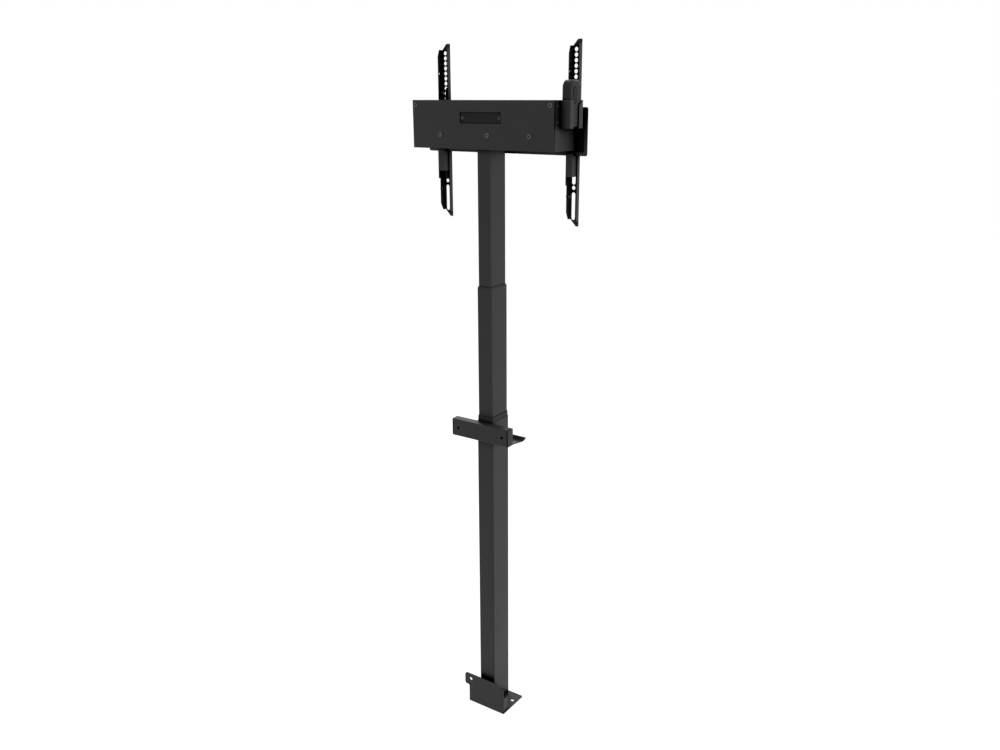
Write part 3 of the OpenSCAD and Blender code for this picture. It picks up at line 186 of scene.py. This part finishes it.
# The upper collar is polyamide from a smoother mould, as grey as the tubes that it
# joins, so that only its edges show, as thin lines.
# Its painted shade is faint and reaches only 8 mm.
upper_polyamide = coat("moulded_upper_collar", "#19191a", "#1d1d1e", roughness=0.46, grain_mm=0.7,
                       depth_mm=0.04, edge_mm=0.6, specular=0.27,
                       hollow_mm=8, black_at=0.0, open_at=0.35)
dress(upper_polyamide, "mid_collar")

# Machined acetal: a waxy, slightly yellow white. The nuts are of it too.
acetal = coat("machined_acetal", "#d2cfc4", "#dbd8ce", roughness=0.42, grain_mm=1.2,
              depth_mm=0.01, edge_mm=0.3, specular=0.5)
dress(acetal, "mid_glides", "upper_glides", "lower_nut", "upper_nut")


# Two standpipes of drawn steel tube carry the nuts, and a ground shaft drives the
# lower spindle. All are bare and lightly oiled: a mid grey metal with long soft lights.
drawn_steel = coat("drawn_steel", "#8f9092", "#a0a1a3", roughness=0.3, grain_mm=0.4,
                   depth_mm=0.01, edge_mm=0.3, metallic=1.0)
dress(drawn_steel, "base_pipe", "mid_pipe", "drive_shaft")


# The spindles have a rolled trapezoidal thread, drawn as a bump in bands along their
# length, so that crests and flanks take the light differently.
THREAD_LEAD = 0.008
THREAD_DEPTH = 0.0015

# A Wave texture at scale 1 has one band in this many metres.
WAVE_BAND = math.pi / 10

rolled_thread = drawn_steel.copy()
rolled_thread.name = "rolled_thread_steel"
tree = rolled_thread.node_tree
thread = add(tree, "ShaderNodeTexWave", {"Scale": WAVE_BAND / THREAD_LEAD, "Distortion": 0.0},
             {"Vector": tree.nodes["Texture Coordinate"].outputs["Object"]},
             wave_type="BANDS", bands_direction="Z", wave_profile="SIN")
flanks = add(tree, "ShaderNodeBump", {"Strength": 0.8, "Distance": THREAD_DEPTH},
             {"Height": thread.outputs["Fac"], "Normal": tree.nodes["Bump"].outputs["Normal"]})
tree.links.new(flanks.outputs["Normal"], tree.nodes["Principled BSDF"].inputs["Normal"])
dress(rolled_thread, "lower_spindle", "upper_spindle")


# The wall bar is a rectangular steel tube, powder coated, with folded brackets behind
# it on both sides of the column. Zinc plated bolts hold it to the wall and the column.
dress(powder_coat, "wall_bar")
dress(zinc_plate, "bar_screws")

# The brackets have a thicker, glossier powder coat. They look greyer than the bar, and
# their rounder edges catch the light.
# Its painted shade reaches 14 mm into the folds.
bracket_coat = coat("powder_coated_brackets", "#242425", "#29292a", roughness=0.4, grain_mm=0.9,
                    depth_mm=0.05, edge_mm=0.9, specular=0.45,
                    hollow_mm=14, black_at=0.05, open_at=0.5)
dress(bracket_coat, "bar_bracket_left", "bar_bracket_right")


# Push-in caps close the bar's ends: a plug in the tube, a short neck that leaves a
# dark seam, and a flange with a chamfer. They are moulded polyethylene, which has a
# softer, greyer black than the coat beside them.
# Its painted shade reaches 12 mm.
moulded_polyethylene = coat("moulded_polyethylene", "#1c1c1d", "#202021", roughness=0.46, grain_mm=0.8,
                            depth_mm=0.03, edge_mm=0.3, specular=0.32,
                            hollow_mm=12, black_at=0.3, open_at=0.8)

# Faces that meet at more than this angle keep a crisp edge.
CRISP_FOLD = math.radians(35)


def new_object(name, data):
    """An object in the scene that shows a mesh, a lamp or a camera."""
    made = bpy.data.objects.new(name, data)
    bpy.context.scene.collection.objects.link(made)
    return made


def rounded_ring(width, height, radius, steps=5):
    """A rectangle with rounded corners about the origin, as pairs of numbers."""
    ring = []
    for turn, (side, top) in enumerate(((1, 1), (-1, 1), (-1, -1), (1, -1))):
        for step in range(steps + 1):
            angle = math.pi / 2 * (turn + step / steps)
            ring.append((side * (width / 2 - radius) + radius * math.cos(angle),
                         top * (height / 2 - radius) + radius * math.sin(angle)))
    return ring


def skin(name, rings, body, material, replaced):
    """A closed piece through rings of as many points, the first and last ring filled."""
    shape = bmesh.new()
    loops = [[shape.verts.new(point) for point in ring] for ring in rings]
    for first, second in zip(loops, loops[1:]):
        for i in range(len(first)):
            j = (i + 1) % len(first)
            shape.faces.new((first[i], first[j], second[j], second[i]))
    shape.faces.new(loops[0][::-1])
    shape.faces.new(loops[-1])
    bmesh.ops.recalc_face_normals(shape, faces=shape.faces)
    for edge in shape.edges:
        edge.smooth = edge.calc_face_angle(0) < CRISP_FOLD
    for face in shape.faces:
        face.smooth = True
    mesh = bpy.data.meshes.new(name)
    shape.to_mesh(mesh)
    shape.free()
    mesh.materials.append(material)
    piece = new_object(name, mesh)
    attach(piece, body)
    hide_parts(*replaced)


# Sections of a cap: millimetres out from its inner end, and in from its outline.
CAP_SECTIONS = ((0, 2.8), (1.2, 2.2), (10, 2.2), (10, 3.2), (12.5, 3.2), (12.5, 0.9), (13.2, 0.2),
                (13.6, 0.2), (14.2, 0.9))
CAP_CORNER = 0.0015
for side, outwards in (("left", -1), ("right", 1)):
    low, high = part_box("bar_cap_" + side)
    middle = (low + high) / 2
    inner_end = low.x if side == "right" else high.x
    rings = []
    for along, inset in CAP_SECTIONS:
        narrower = 2 * inset / 1000
        outline = rounded_ring(high.y - low.y - narrower, high.z - low.z - narrower, CAP_CORNER)
        rings.append([(inner_end + outwards * along / 1000, middle.y + y, middle.z + z)
                      for y, z in outline])
    skin("bar_end_cap_" + side, rings, "base", moulded_polyethylene, ["bar_cap_" + side])


# The head box is a folded tray of powder coated sheet on a plate that is screwed to
# the top of the column. A flat cover closes its wall side.
dress(powder_coat, "head_plate", "chassis", "cover_bar", "cover_plate")
dress(zinc_plate, "head_screws")


# Five pan head screws hold the cover. They are cold headed, with a cross recess, and
# chemically blackened. Each stands at the angle at which the screwdriver left it.
SAME_PLACE = 1e-6


def separate_solids(name):
    """The lowest and highest corner of each separate solid of a CAD node."""
    copy = bmesh.new()
    copy.from_mesh(node[name].data)
    bmesh.ops.remove_doubles(copy, verts=copy.verts, dist=SAME_PLACE)
    left = set(copy.verts)
    corners = []
    while left:
        reached = [left.pop()]
        for vert in reached:
            for edge in vert.link_edges:
                other = edge.other_vert(vert)
                if other in left:
                    left.discard(other)
                    reached.append(other)
        corners.append([Vector(pick(v.co[i] for v in reached) for i in range(3)) for pick in (min, max)])
    copy.free()
    return sorted(corners, key=lambda pair: tuple(pair[0]))


def new_tree(name, inputs):
    """A Geometry Nodes tree with named inputs, and each input's identifier."""
    made = bpy.data.node_groups.new(name, "GeometryNodeTree")
    made.interface.new_socket("Geometry", in_out="INPUT", socket_type="NodeSocketGeometry")
    known = {}
    for label, kind in inputs.items():
        socket = made.interface.new_socket(label, in_out="INPUT", socket_type="NodeSocket" + kind)
        known[label] = socket.identifier
    made.interface.new_socket("Geometry", in_out="OUTPUT", socket_type="NodeSocketGeometry")
    return made, known


HEAD_SEGMENTS = 28
ROD_SIDES = 16


def domed(tree, width, height, fullness):
    """A domed head on z = 0 in a tree: a ball with its lower half pressed flat, and its
    upper half raised to a power, which below 1 gives it steep sides and a flat top."""
    ball = add(tree, "GeometryNodeMeshUVSphere",
               {"Segments": HEAD_SEGMENTS, "Rings": HEAD_SEGMENTS // 2, "Radius": 1.0})
    place = add(tree, "ShaderNodeSeparateXYZ",
                links={0: add(tree, "GeometryNodeInputPosition").outputs[0]})
    upper = add(tree, "ShaderNodeMath", {1: 0.0}, {0: place.outputs[2]}, operation="MAXIMUM")
    full = add(tree, "ShaderNodeMath", {1: fullness}, {0: upper.outputs[0]}, operation="POWER")
    half = add(tree, "ShaderNodeMath", {1: 0.5}, {0: width}, operation="MULTIPLY")
    scaled = [add(tree, "ShaderNodeMath", links={0: a, 1: b}, operation="MULTIPLY").outputs[0]
              for a, b in ((place.outputs[0], half.outputs[0]), (place.outputs[1], half.outputs[0]),
                           (full.outputs[0], height))]
    spot = add(tree, "ShaderNodeCombineXYZ", links=dict(enumerate(scaled)))
    head = add(tree, "GeometryNodeSetPosition",
               links={"Geometry": ball.outputs[0], "Position": spot.outputs[0]})
    return head.outputs[0]


def rod_down(tree, width, length):
    """A round rod in a tree, from z = 0 down."""
    half = add(tree, "ShaderNodeMath", {1: 0.5}, {0: width}, operation="MULTIPLY")
    rod = add(tree, "GeometryNodeMeshCylinder", {"Vertices": ROD_SIDES},
              {"Radius": half.outputs[0], "Depth": length})
    depth = add(tree, "ShaderNodeMath", {1: -0.5}, {0: length}, operation="MULTIPLY")
    centre = add(tree, "ShaderNodeCombineXYZ", links={2: depth.outputs[0]})
    lowered = add(tree, "GeometryNodeTransform",
                  links={"Geometry": rod.outputs[0], "Translation": centre.outputs[0]})
    return lowered.outputs[0]


def stand_on_points(tree, given, shape):
    """Stands a shape on each point along the way out, turned by the point's own angle,
    and makes it one mesh with its finish."""
    angle = add(tree, "GeometryNodeInputNamedAttribute", {"Name": "turn"}, data_type="FLOAT")
    spin = add(tree, "FunctionNodeAxisAngleToRotation", {"Axis": (0, 0, 1)}, {"Angle": angle.outputs[0]})
    aim = add(tree, "FunctionNodeAlignRotationToVector", links={"Vector": given["Way out"]}, axis="Z")
    turned = add(tree, "FunctionNodeRotateRotation",
                 links={"Rotation": aim.outputs[0], "Rotate By": spin.outputs[0]}, rotation_space="LOCAL")
    copies = add(tree, "GeometryNodeInstanceOnPoints",
                 links={"Points": given["Geometry"], "Instance": shape, "Rotation": turned.outputs[0]})
    solid = add(tree, "GeometryNodeRealizeInstances", links={"Geometry": copies.outputs[0]})
    smooth = add(tree, "GeometryNodeSetShadeSmooth", {"Shade Smooth": True}, {"Geometry": solid.outputs[0]})
    fold = add(tree, "GeometryNodeInputMeshEdgeAngle")
    sharp = add(tree, "FunctionNodeCompare", {1: CRISP_FOLD}, {0: fold.outputs[0]},
                data_type="FLOAT", operation="GREATER_THAN")
    crisp = add(tree, "GeometryNodeSetShadeSmooth", {"Shade Smooth": False},
                {"Geometry": smooth.outputs[0], "Selection": sharp.outputs[0]}, domain="EDGE")
    last = add(tree, "GeometryNodeSetMaterial",
               links={"Geometry": crisp.outputs[0], "Material": given["Finish"]})
    add(tree, "NodeGroupOutput", links={0: last.outputs[0]})


def made_on_points(name, tree, known, points, sizes, body, replaced, seed):
    """Runs a tree on points, each with its own turn, and keeps the result as a plain mesh."""
    mesh = bpy.data.meshes.new(name)
    mesh.from_pydata(points, [], [])
    draw = random.Random(seed)
    turns = mesh.attributes.new("turn", "FLOAT", "POINT")
    for item in turns.data:
        item.value = draw.uniform(0, math.tau)
    piece = new_object(name, mesh)
    work = piece.modifiers.new("made", "NODES")
    work.node_group = tree
    for label, value in sizes.items():
        work[known[label]] = value
    seen = piece.evaluated_get(bpy.context.evaluated_depsgraph_get())
    plain = bpy.data.meshes.new_from_object(seen)
    piece.modifiers.remove(work)
    piece.data = plain
    bpy.data.meshes.remove(mesh)
    plain.name = name
    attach(piece, body)
    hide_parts(*replaced)


PAN_FULLNESS = 0.42
screw_tree, screw_input = new_tree("pan_head_screw", {
    "Head width": "Float", "Head height": "Float", "Recess length": "Float", "Recess width": "Float",
    "Shank width": "Float", "Shank length": "Float", "Way out": "Vector", "Finish": "Material"})
given = add(screw_tree, "NodeGroupInput").outputs
head = domed(screw_tree, given["Head width"], given["Head height"], PAN_FULLNESS)
head_top = add(screw_tree, "ShaderNodeCombineXYZ", links={2: given["Head height"]})
recess = []
for along, across in (("Recess length", "Recess width"), ("Recess width", "Recess length")):
    size = add(screw_tree, "ShaderNodeCombineXYZ",
               links={0: given[along], 1: given[across], 2: given["Head height"]})
    bar = add(screw_tree, "GeometryNodeMeshCube", links={"Size": size.outputs[0]})
    raised = add(screw_tree, "GeometryNodeTransform",
                 links={"Geometry": bar.outputs[0], "Translation": head_top.outputs[0]})
    recess.append(raised.outputs[0])
crossed = add(screw_tree, "GeometryNodeMeshBoolean", links={"Mesh 1": head, "Mesh 2": recess},
              operation="DIFFERENCE")
shank = rod_down(screw_tree, given["Shank width"], given["Shank length"])
whole = add(screw_tree, "GeometryNodeJoinGeometry", links={0: [crossed.outputs[0], shank]})
stand_on_points(screw_tree, given, whole.outputs[0])

# Black oxide keeps the steel's sheen: a dark grey metal with sharp small lights.
# Painted shade turns it black in the recess and where the head meets the sheet.
blackened = coat("blackened_steel_screws", "#4a4a4e", "#58585c", roughness=0.28, grain_mm=0.5,
                 depth_mm=0.01, edge_mm=0.15, metallic=1.0,
                 hollow_mm=4, black_at=0.55, open_at=0.97)

PAN_SHANK = 0.004
PAN_HEAD_HEIGHT = 0.0024

# The recess's length and width as shares of the head's width.
RECESS_LENGTH = 0.56
RECESS_WIDTH = 0.13


def pan_screws(name, cad_node, side, body, seed, head_height=PAN_HEAD_HEIGHT, finish=blackened,
               wider=1.0):
    """Pan head screws in place of a CAD node's, with their heads towards -Y or +X, and
    that many times as wide as the node's."""
    axis = 1 if side[1] else 0
    solids = separate_solids(cad_node)
    points = []
    for low, high in solids:
        seat = (low + high) / 2
        seat[axis] = low[1] + head_height if axis == 1 else high[0] - head_height
        points.append(seat)
    low, high = solids[0]
    head_width = (high[2] - low[2]) * wider
    sizes = {"Head width": head_width, "Head height": head_height,
             "Recess length": head_width * RECESS_LENGTH, "Recess width": head_width * RECESS_WIDTH,
             "Shank width": PAN_SHANK, "Shank length": high[axis] - low[axis] - head_height,
             "Way out": side, "Finish": finish}
    made_on_points(name, screw_tree, screw_input, points, sizes, body,
                   [cad_node], seed)


pan_screws("cover_pan_screws", "cover_screws", (0, -1, 0), "head", seed=3, wider=1.25)


# A moulded plate lies deep behind the cover's slot, held by two smaller pan head
# screws. Both carry painted shade: the plate a flatter, darker black and the screws a
# darker, duller metal than the cover's, for the little light that gets in there.
painted_shade_polyamide = coat("slot_plate_painted_shade", "#0f0f10", "#131314", roughness=0.6, grain_mm=0.7,
                        depth_mm=0.04, edge_mm=0.4, specular=0.16,
                        hollow_mm=20, black_at=0.4, open_at=0.95)
dress(painted_shade_polyamide, "slot_plate")
small_screws_painted_shade = coat("blackened_small_screws_painted_shade", "#3a3a3d", "#434347", roughness=0.32, grain_mm=0.5,
                       depth_mm=0.01, edge_mm=0.15, metallic=1.0,
                       hollow_mm=4, black_at=0.5, open_at=0.95)
pan_screws("slot_pan_screws", "slot_screws", (0, -1, 0), "head", seed=8, head_height=0.0016,
           finish=small_screws_painted_shade, wider=1.15)


# A thin near-black strip stands between the cover's right edge and the tray: painted
# shade for the shadow gap there, which shows outside as a thin dark line.
gap_shade_finish = coat("painted_gap_shade", "#040404", "#060606", roughness=0.9, grain_mm=0.8,
            depth_mm=0.1, edge_mm=0.1, specular=0.05)
GAP_SHADE_WIDTH = 0.0024
GAP_SHADE_PROUD = 0.0003
low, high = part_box("cover_plate")
section = ((0, 0), (GAP_SHADE_PROUD, 0), (GAP_SHADE_PROUD, GAP_SHADE_WIDTH), (0, GAP_SHADE_WIDTH))
rings = [[(high.x + x, high.y + y, z) for x, y in section]
         for z in (low.z + GAP_SHADE_WIDTH, high.z - GAP_SHADE_WIDTH)]
skin("cover_painted_gap_shade", rings, "head", gap_shade_finish, [])


# The gear motor stands on the head plate inside the box: a die-cast worm gearbox and
# a motor can, both painted a dull dark grey over the casting's coarse skin. The
# moulded control box hangs beside it.
painted_casting = coat("painted_casting", "#3c3d40", "#45464a", roughness=0.6, grain_mm=1.6,
                       depth_mm=0.12, edge_mm=0.8)
dress(painted_casting, "gearbox", "motor")
dress(moulded_polyamide, "control_box")


# The TV rail is a pressed tray of sheet steel with turned lips, bolted to the head box
# over four spacers, and powder coated.
dress(powder_coat, "tv_rail")
dress(zinc_plate, "rail_spacers", "rail_bolts")


# The arms are punched channels that hang on the rail by their hooks. Arms, hooks and
# latches are folded sheet in the same powder coat, and a pin of blackened steel holds
# each latch. Their coat paints the channels' narrow insides near black, as painted shade.
channel_coat_painted_shade = coat("powder_coated_channels_painted_shade", "#1a1a1b", "#1e1e1f", roughness=0.46, grain_mm=0.9,
                    depth_mm=0.05, edge_mm=0.5, specular=0.28,
                    hollow_mm=60, black_at=0.72, open_at=1.0)
dress(channel_coat_painted_shade, "left_arm", "left_hook", "left_latch", "right_arm", "right_hook", "right_latch")
dress(blackened, "left_latch_pin", "right_latch_pin")


# Blind rivets hold each hook to its arm's web. Their heads are spun domes on both
# sides, blackened with the arm.
RIVET_FULLNESS = 0.62
rivet_tree, rivet_input = new_tree("domed_rivet", {
    "Head width": "Float", "Head height": "Float", "Shank width": "Float", "Grip": "Float",
    "Way out": "Vector", "Finish": "Material"})
given = add(rivet_tree, "NodeGroupInput").outputs
near_head = domed(rivet_tree, given["Head width"], given["Head height"], RIVET_FULLNESS)
drop = add(rivet_tree, "ShaderNodeMath", {1: -1.0}, {0: given["Grip"]}, operation="MULTIPLY")
far_end = add(rivet_tree, "ShaderNodeCombineXYZ", links={2: drop.outputs[0]})
far_head = add(rivet_tree, "GeometryNodeTransform", {"Rotation": (math.pi, 0, 0)},
               {"Geometry": near_head, "Translation": far_end.outputs[0]})
shank = rod_down(rivet_tree, given["Shank width"], given["Grip"])
whole = add(rivet_tree, "GeometryNodeJoinGeometry", links={0: [near_head, far_head.outputs[0], shank]})
stand_on_points(rivet_tree, given, whole.outputs[0])

RIVET_HEAD = 0.0012
RIVET_SHANK = 0.005
for seed, side in ((21, "left"), (22, "right")):
    solids = separate_solids(side + "_hook_rivets")
    low, high = solids[0]
    seats = [Vector((b[0] - RIVET_HEAD, (a[1] + b[1]) / 2, (a[2] + b[2]) / 2)) for a, b in solids]
    sizes = {"Head width": high[2] - low[2], "Head height": RIVET_HEAD, "Shank width": RIVET_SHANK,
             "Grip": high[0] - low[0] - 2 * RIVET_HEAD, "Way out": (1, 0, 0), "Finish": blackened}
    made_on_points(side + "_domed_rivets", rivet_tree, rivet_input, seats, sizes,
                   side + "_arm_body", [side + "_hook_rivets"], seed)


# A strip of the same coated steel lies in the left arm's channel and covers its
# middle slot from inside, down to the round hole below it. A narrow rib stands on it,
# in the brackets' greyer, glossier coat, as a painted highlight. The right arm has neither.
arm_low, arm_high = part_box("left_arm")
SLOT_COVER_LOW = arm_low.z + 0.1015
SLOT_COVER_HIGH = arm_low.z + 0.169
STRIP_LEFT = arm_low.x + 0.0029
STRIP_WIDTH = 0.0116
STRIP_BACK = arm_high.y - 0.0026
STRIP_THICKNESS = 0.002
RIB_LEFT = arm_low.x + 0.0062
RIB_WIDTH = 0.0042
RIB_BACK = STRIP_BACK - STRIP_THICKNESS
RIB_DEPTH = 0.0038
for name, left, width, back, depth, finish in (
        ("left_slot_strip", STRIP_LEFT, STRIP_WIDTH, STRIP_BACK, STRIP_THICKNESS, powder_coat),
        ("left_slot_rib", RIB_LEFT, RIB_WIDTH, RIB_BACK, RIB_DEPTH, bracket_coat)):
    right = left + width
    front = back - depth
    rings = [[(left, front, z), (right, front, z), (right, back, z), (left, back, z)]
             for z in (SLOT_COVER_LOW, SLOT_COVER_HIGH)]
    skin(name, rings, "left_arm_body", finish, [])


# The holster is folded sheet on the box's right side, open at its top, and held by
# two pan head screws through its foot. They are coated over with it.
dress(powder_coat, "holster")
pan_screws("holster_pan_screws", "holster_screws", (1, 0, 0), "head", seed=13, finish=powder_coat)


# The hand control is two shells of moulded ABS. The mould's satin grain leaves a deep
# black with a soft light along the large round edges.
satin_abs = coat("moulded_abs", "#0d0d0e", "#111112", roughness=0.4, grain_mm=0.6,
                 depth_mm=0.03, edge_mm=2.4, specular=0.18)
dress(satin_abs, "handset_front", "handset_back")


# A rocker stands in the hand control's face, with a gap round it and raised ends that
# the thumb finds. Its ABS comes from a polished mould: smoother, and as black.
# Its painted shade darkens the gap round the rocker.
smooth_abs = coat("polished_abs", "#0c0c0d", "#101011", roughness=0.36, grain_mm=0.6,
                  depth_mm=0.01, edge_mm=0.4, specular=0.09,
                  hollow_mm=6, black_at=0.4, open_at=0.95)
ROCKER_GAP = 0.0009
ROCKER_RISE = 0.0006
ROCKER_POINTS = 48

# The rocker's rings from its root to its face: shares of its outline and of its height.
ROCKER_RINGS = ((1, 0), (1, 0.7), (0.97, 0.8), (0.9, 0.86), (0.7, 0.88), (0.4, 0.88), (0.1, 0.88))

# Rings above this share of the height rise towards the rocker's ends.
ROCKER_FACE = 0.75
low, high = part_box("rocker")
middle = (low + high) / 2
half_width = (high.y - low.y) / 2 - ROCKER_GAP
half_length = (high.z - low.z) / 2 - ROCKER_GAP
rings = []
for share, height in ROCKER_RINGS:
    ring = []
    for step in range(ROCKER_POINTS):
        angle = math.tau * step / ROCKER_POINTS
        end = math.copysign(half_length - half_width, math.sin(angle))
        y = half_width * math.cos(angle) * share
        z = (end + half_width * math.sin(angle)) * share
        rise = ROCKER_RISE * (z / half_length) ** 2 if height > ROCKER_FACE else 0
        ring.append((low.x + (high.x - low.x) * height + rise, middle.y + y, middle.z + z))
    rings.append(ring)
skin("moulded_rocker", rings, "rocker_body", smooth_abs, ["rocker"])


# The studio has a white paper floor that meets a white room, and three soft lights:
# one above, and two broad ones from the right and from behind.
FLOOR_REACH = 9
floor_mesh = bpy.data.meshes.new("floor")
corners = [(x * FLOOR_REACH, y * FLOOR_REACH, 0) for x, y in ((-1, -1), (1, -1), (1, 1), (-1, 1))]
floor_mesh.from_pydata(corners, [], [(0, 1, 2, 3)])
floor = new_object("floor", floor_mesh)

# The camera and gloss see a floor that is nearly white by itself, and dimmer where the
# object's shadow lies. Other rays meet plain paper, which lights the object from below.
white_floor = bpy.data.materials.new("white_floor")
white_floor.use_nodes = True
tree = white_floor.node_tree
tree.nodes.clear()
path = add(tree, "ShaderNodeLightPath")
paper = add(tree, "ShaderNodeBsdfDiffuse", {"Color": (0.8, 0.8, 0.8, 1)})
dim_paper = add(tree, "ShaderNodeBsdfDiffuse", {"Color": (0.3, 0.3, 0.3, 1)})
glow = add(tree, "ShaderNodeEmission", {"Color": (1, 1, 1, 1), "Strength": 0.85})
shown = add(tree, "ShaderNodeAddShader", links={0: dim_paper.outputs[0], 1: glow.outputs[0]})
seen = add(tree, "ShaderNodeMath", operation="MAXIMUM",
           links={0: path.outputs["Is Camera Ray"], 1: path.outputs["Is Glossy Ray"]})
mix = add(tree, "ShaderNodeMixShader", links={0: seen.outputs[0], 1: paper.outputs[0], 2: shown.outputs[0]})
add(tree, "ShaderNodeOutputMaterial", links={"Surface": mix.outputs[0]})
floor.data.materials.append(white_floor)


def soft_light(name, place, size, power, aim):
    """A square area light aimed at a point."""
    lamp = bpy.data.lights.new(name, "AREA")
    lamp.size = size
    lamp.energy = power
    light = new_object(name, lamp)
    light.location = place
    light.rotation_euler = (Vector(aim) - Vector(place)).to_track_quat("-Z", "Y").to_euler()


soft_light("above", place=(0.4, -0.3, 4.2), size=1.5, power=45, aim=(0, 0, 0.9))
soft_light("right", place=(3.2, -1.2, 1.6), size=2.5, power=40, aim=(0, 0, 1.0))
soft_light("behind", place=(-1.5, 2.2, 3.3), size=2.5, power=39, aim=(0, 0, 1.0))

# The room is white to the camera, to gloss and through glass, and lights the object
# at a lower level.
world = bpy.data.worlds.new("studio")
world.use_nodes = True
bpy.context.scene.world = world
tree = world.node_tree
tree.nodes.clear()
path = add(tree, "ShaderNodeLightPath")
seen = add(tree, "ShaderNodeMath", operation="MAXIMUM",
           links={0: path.outputs["Is Camera Ray"], 1: path.outputs["Is Transmission Ray"]})
shown = add(tree, "ShaderNodeMath", operation="MAXIMUM",
            links={0: seen.outputs[0], 1: path.outputs["Is Glossy Ray"]})
plain = add(tree, "ShaderNodeBackground", {"Color": (1, 1, 1, 1), "Strength": 0.6})
white = add(tree, "ShaderNodeBackground", {"Color": (1, 1, 1, 1), "Strength": 1.0})
mix = add(tree, "ShaderNodeMixShader", links={0: shown.outputs[0], 1: plain.outputs[0], 2: white.outputs[0]})
add(tree, "ShaderNodeOutputWorld", links={"Surface": mix.outputs[0]})


# The camera stands above and to the right of the wall side, as in the photograph. Its
# place, turn and lens come from a fit of the object's straight edges.
CAMERA_TILT = 72.72
CAMERA_TURN = 32.83
lens = bpy.data.cameras.new("camera")
lens.lens = 31.99
lens.sensor_width = 36
lens.shift_x = -0.0112
lens.clip_end = 60
camera = new_object("camera", lens)
camera.location = (1.2849, -1.8997, 1.7383)
camera.rotation_euler = (math.radians(CAMERA_TILT), 0, math.radians(CAMERA_TURN))
bpy.context.scene.camera = camera
bpy.context.scene.view_settings.view_transform = "Standard"
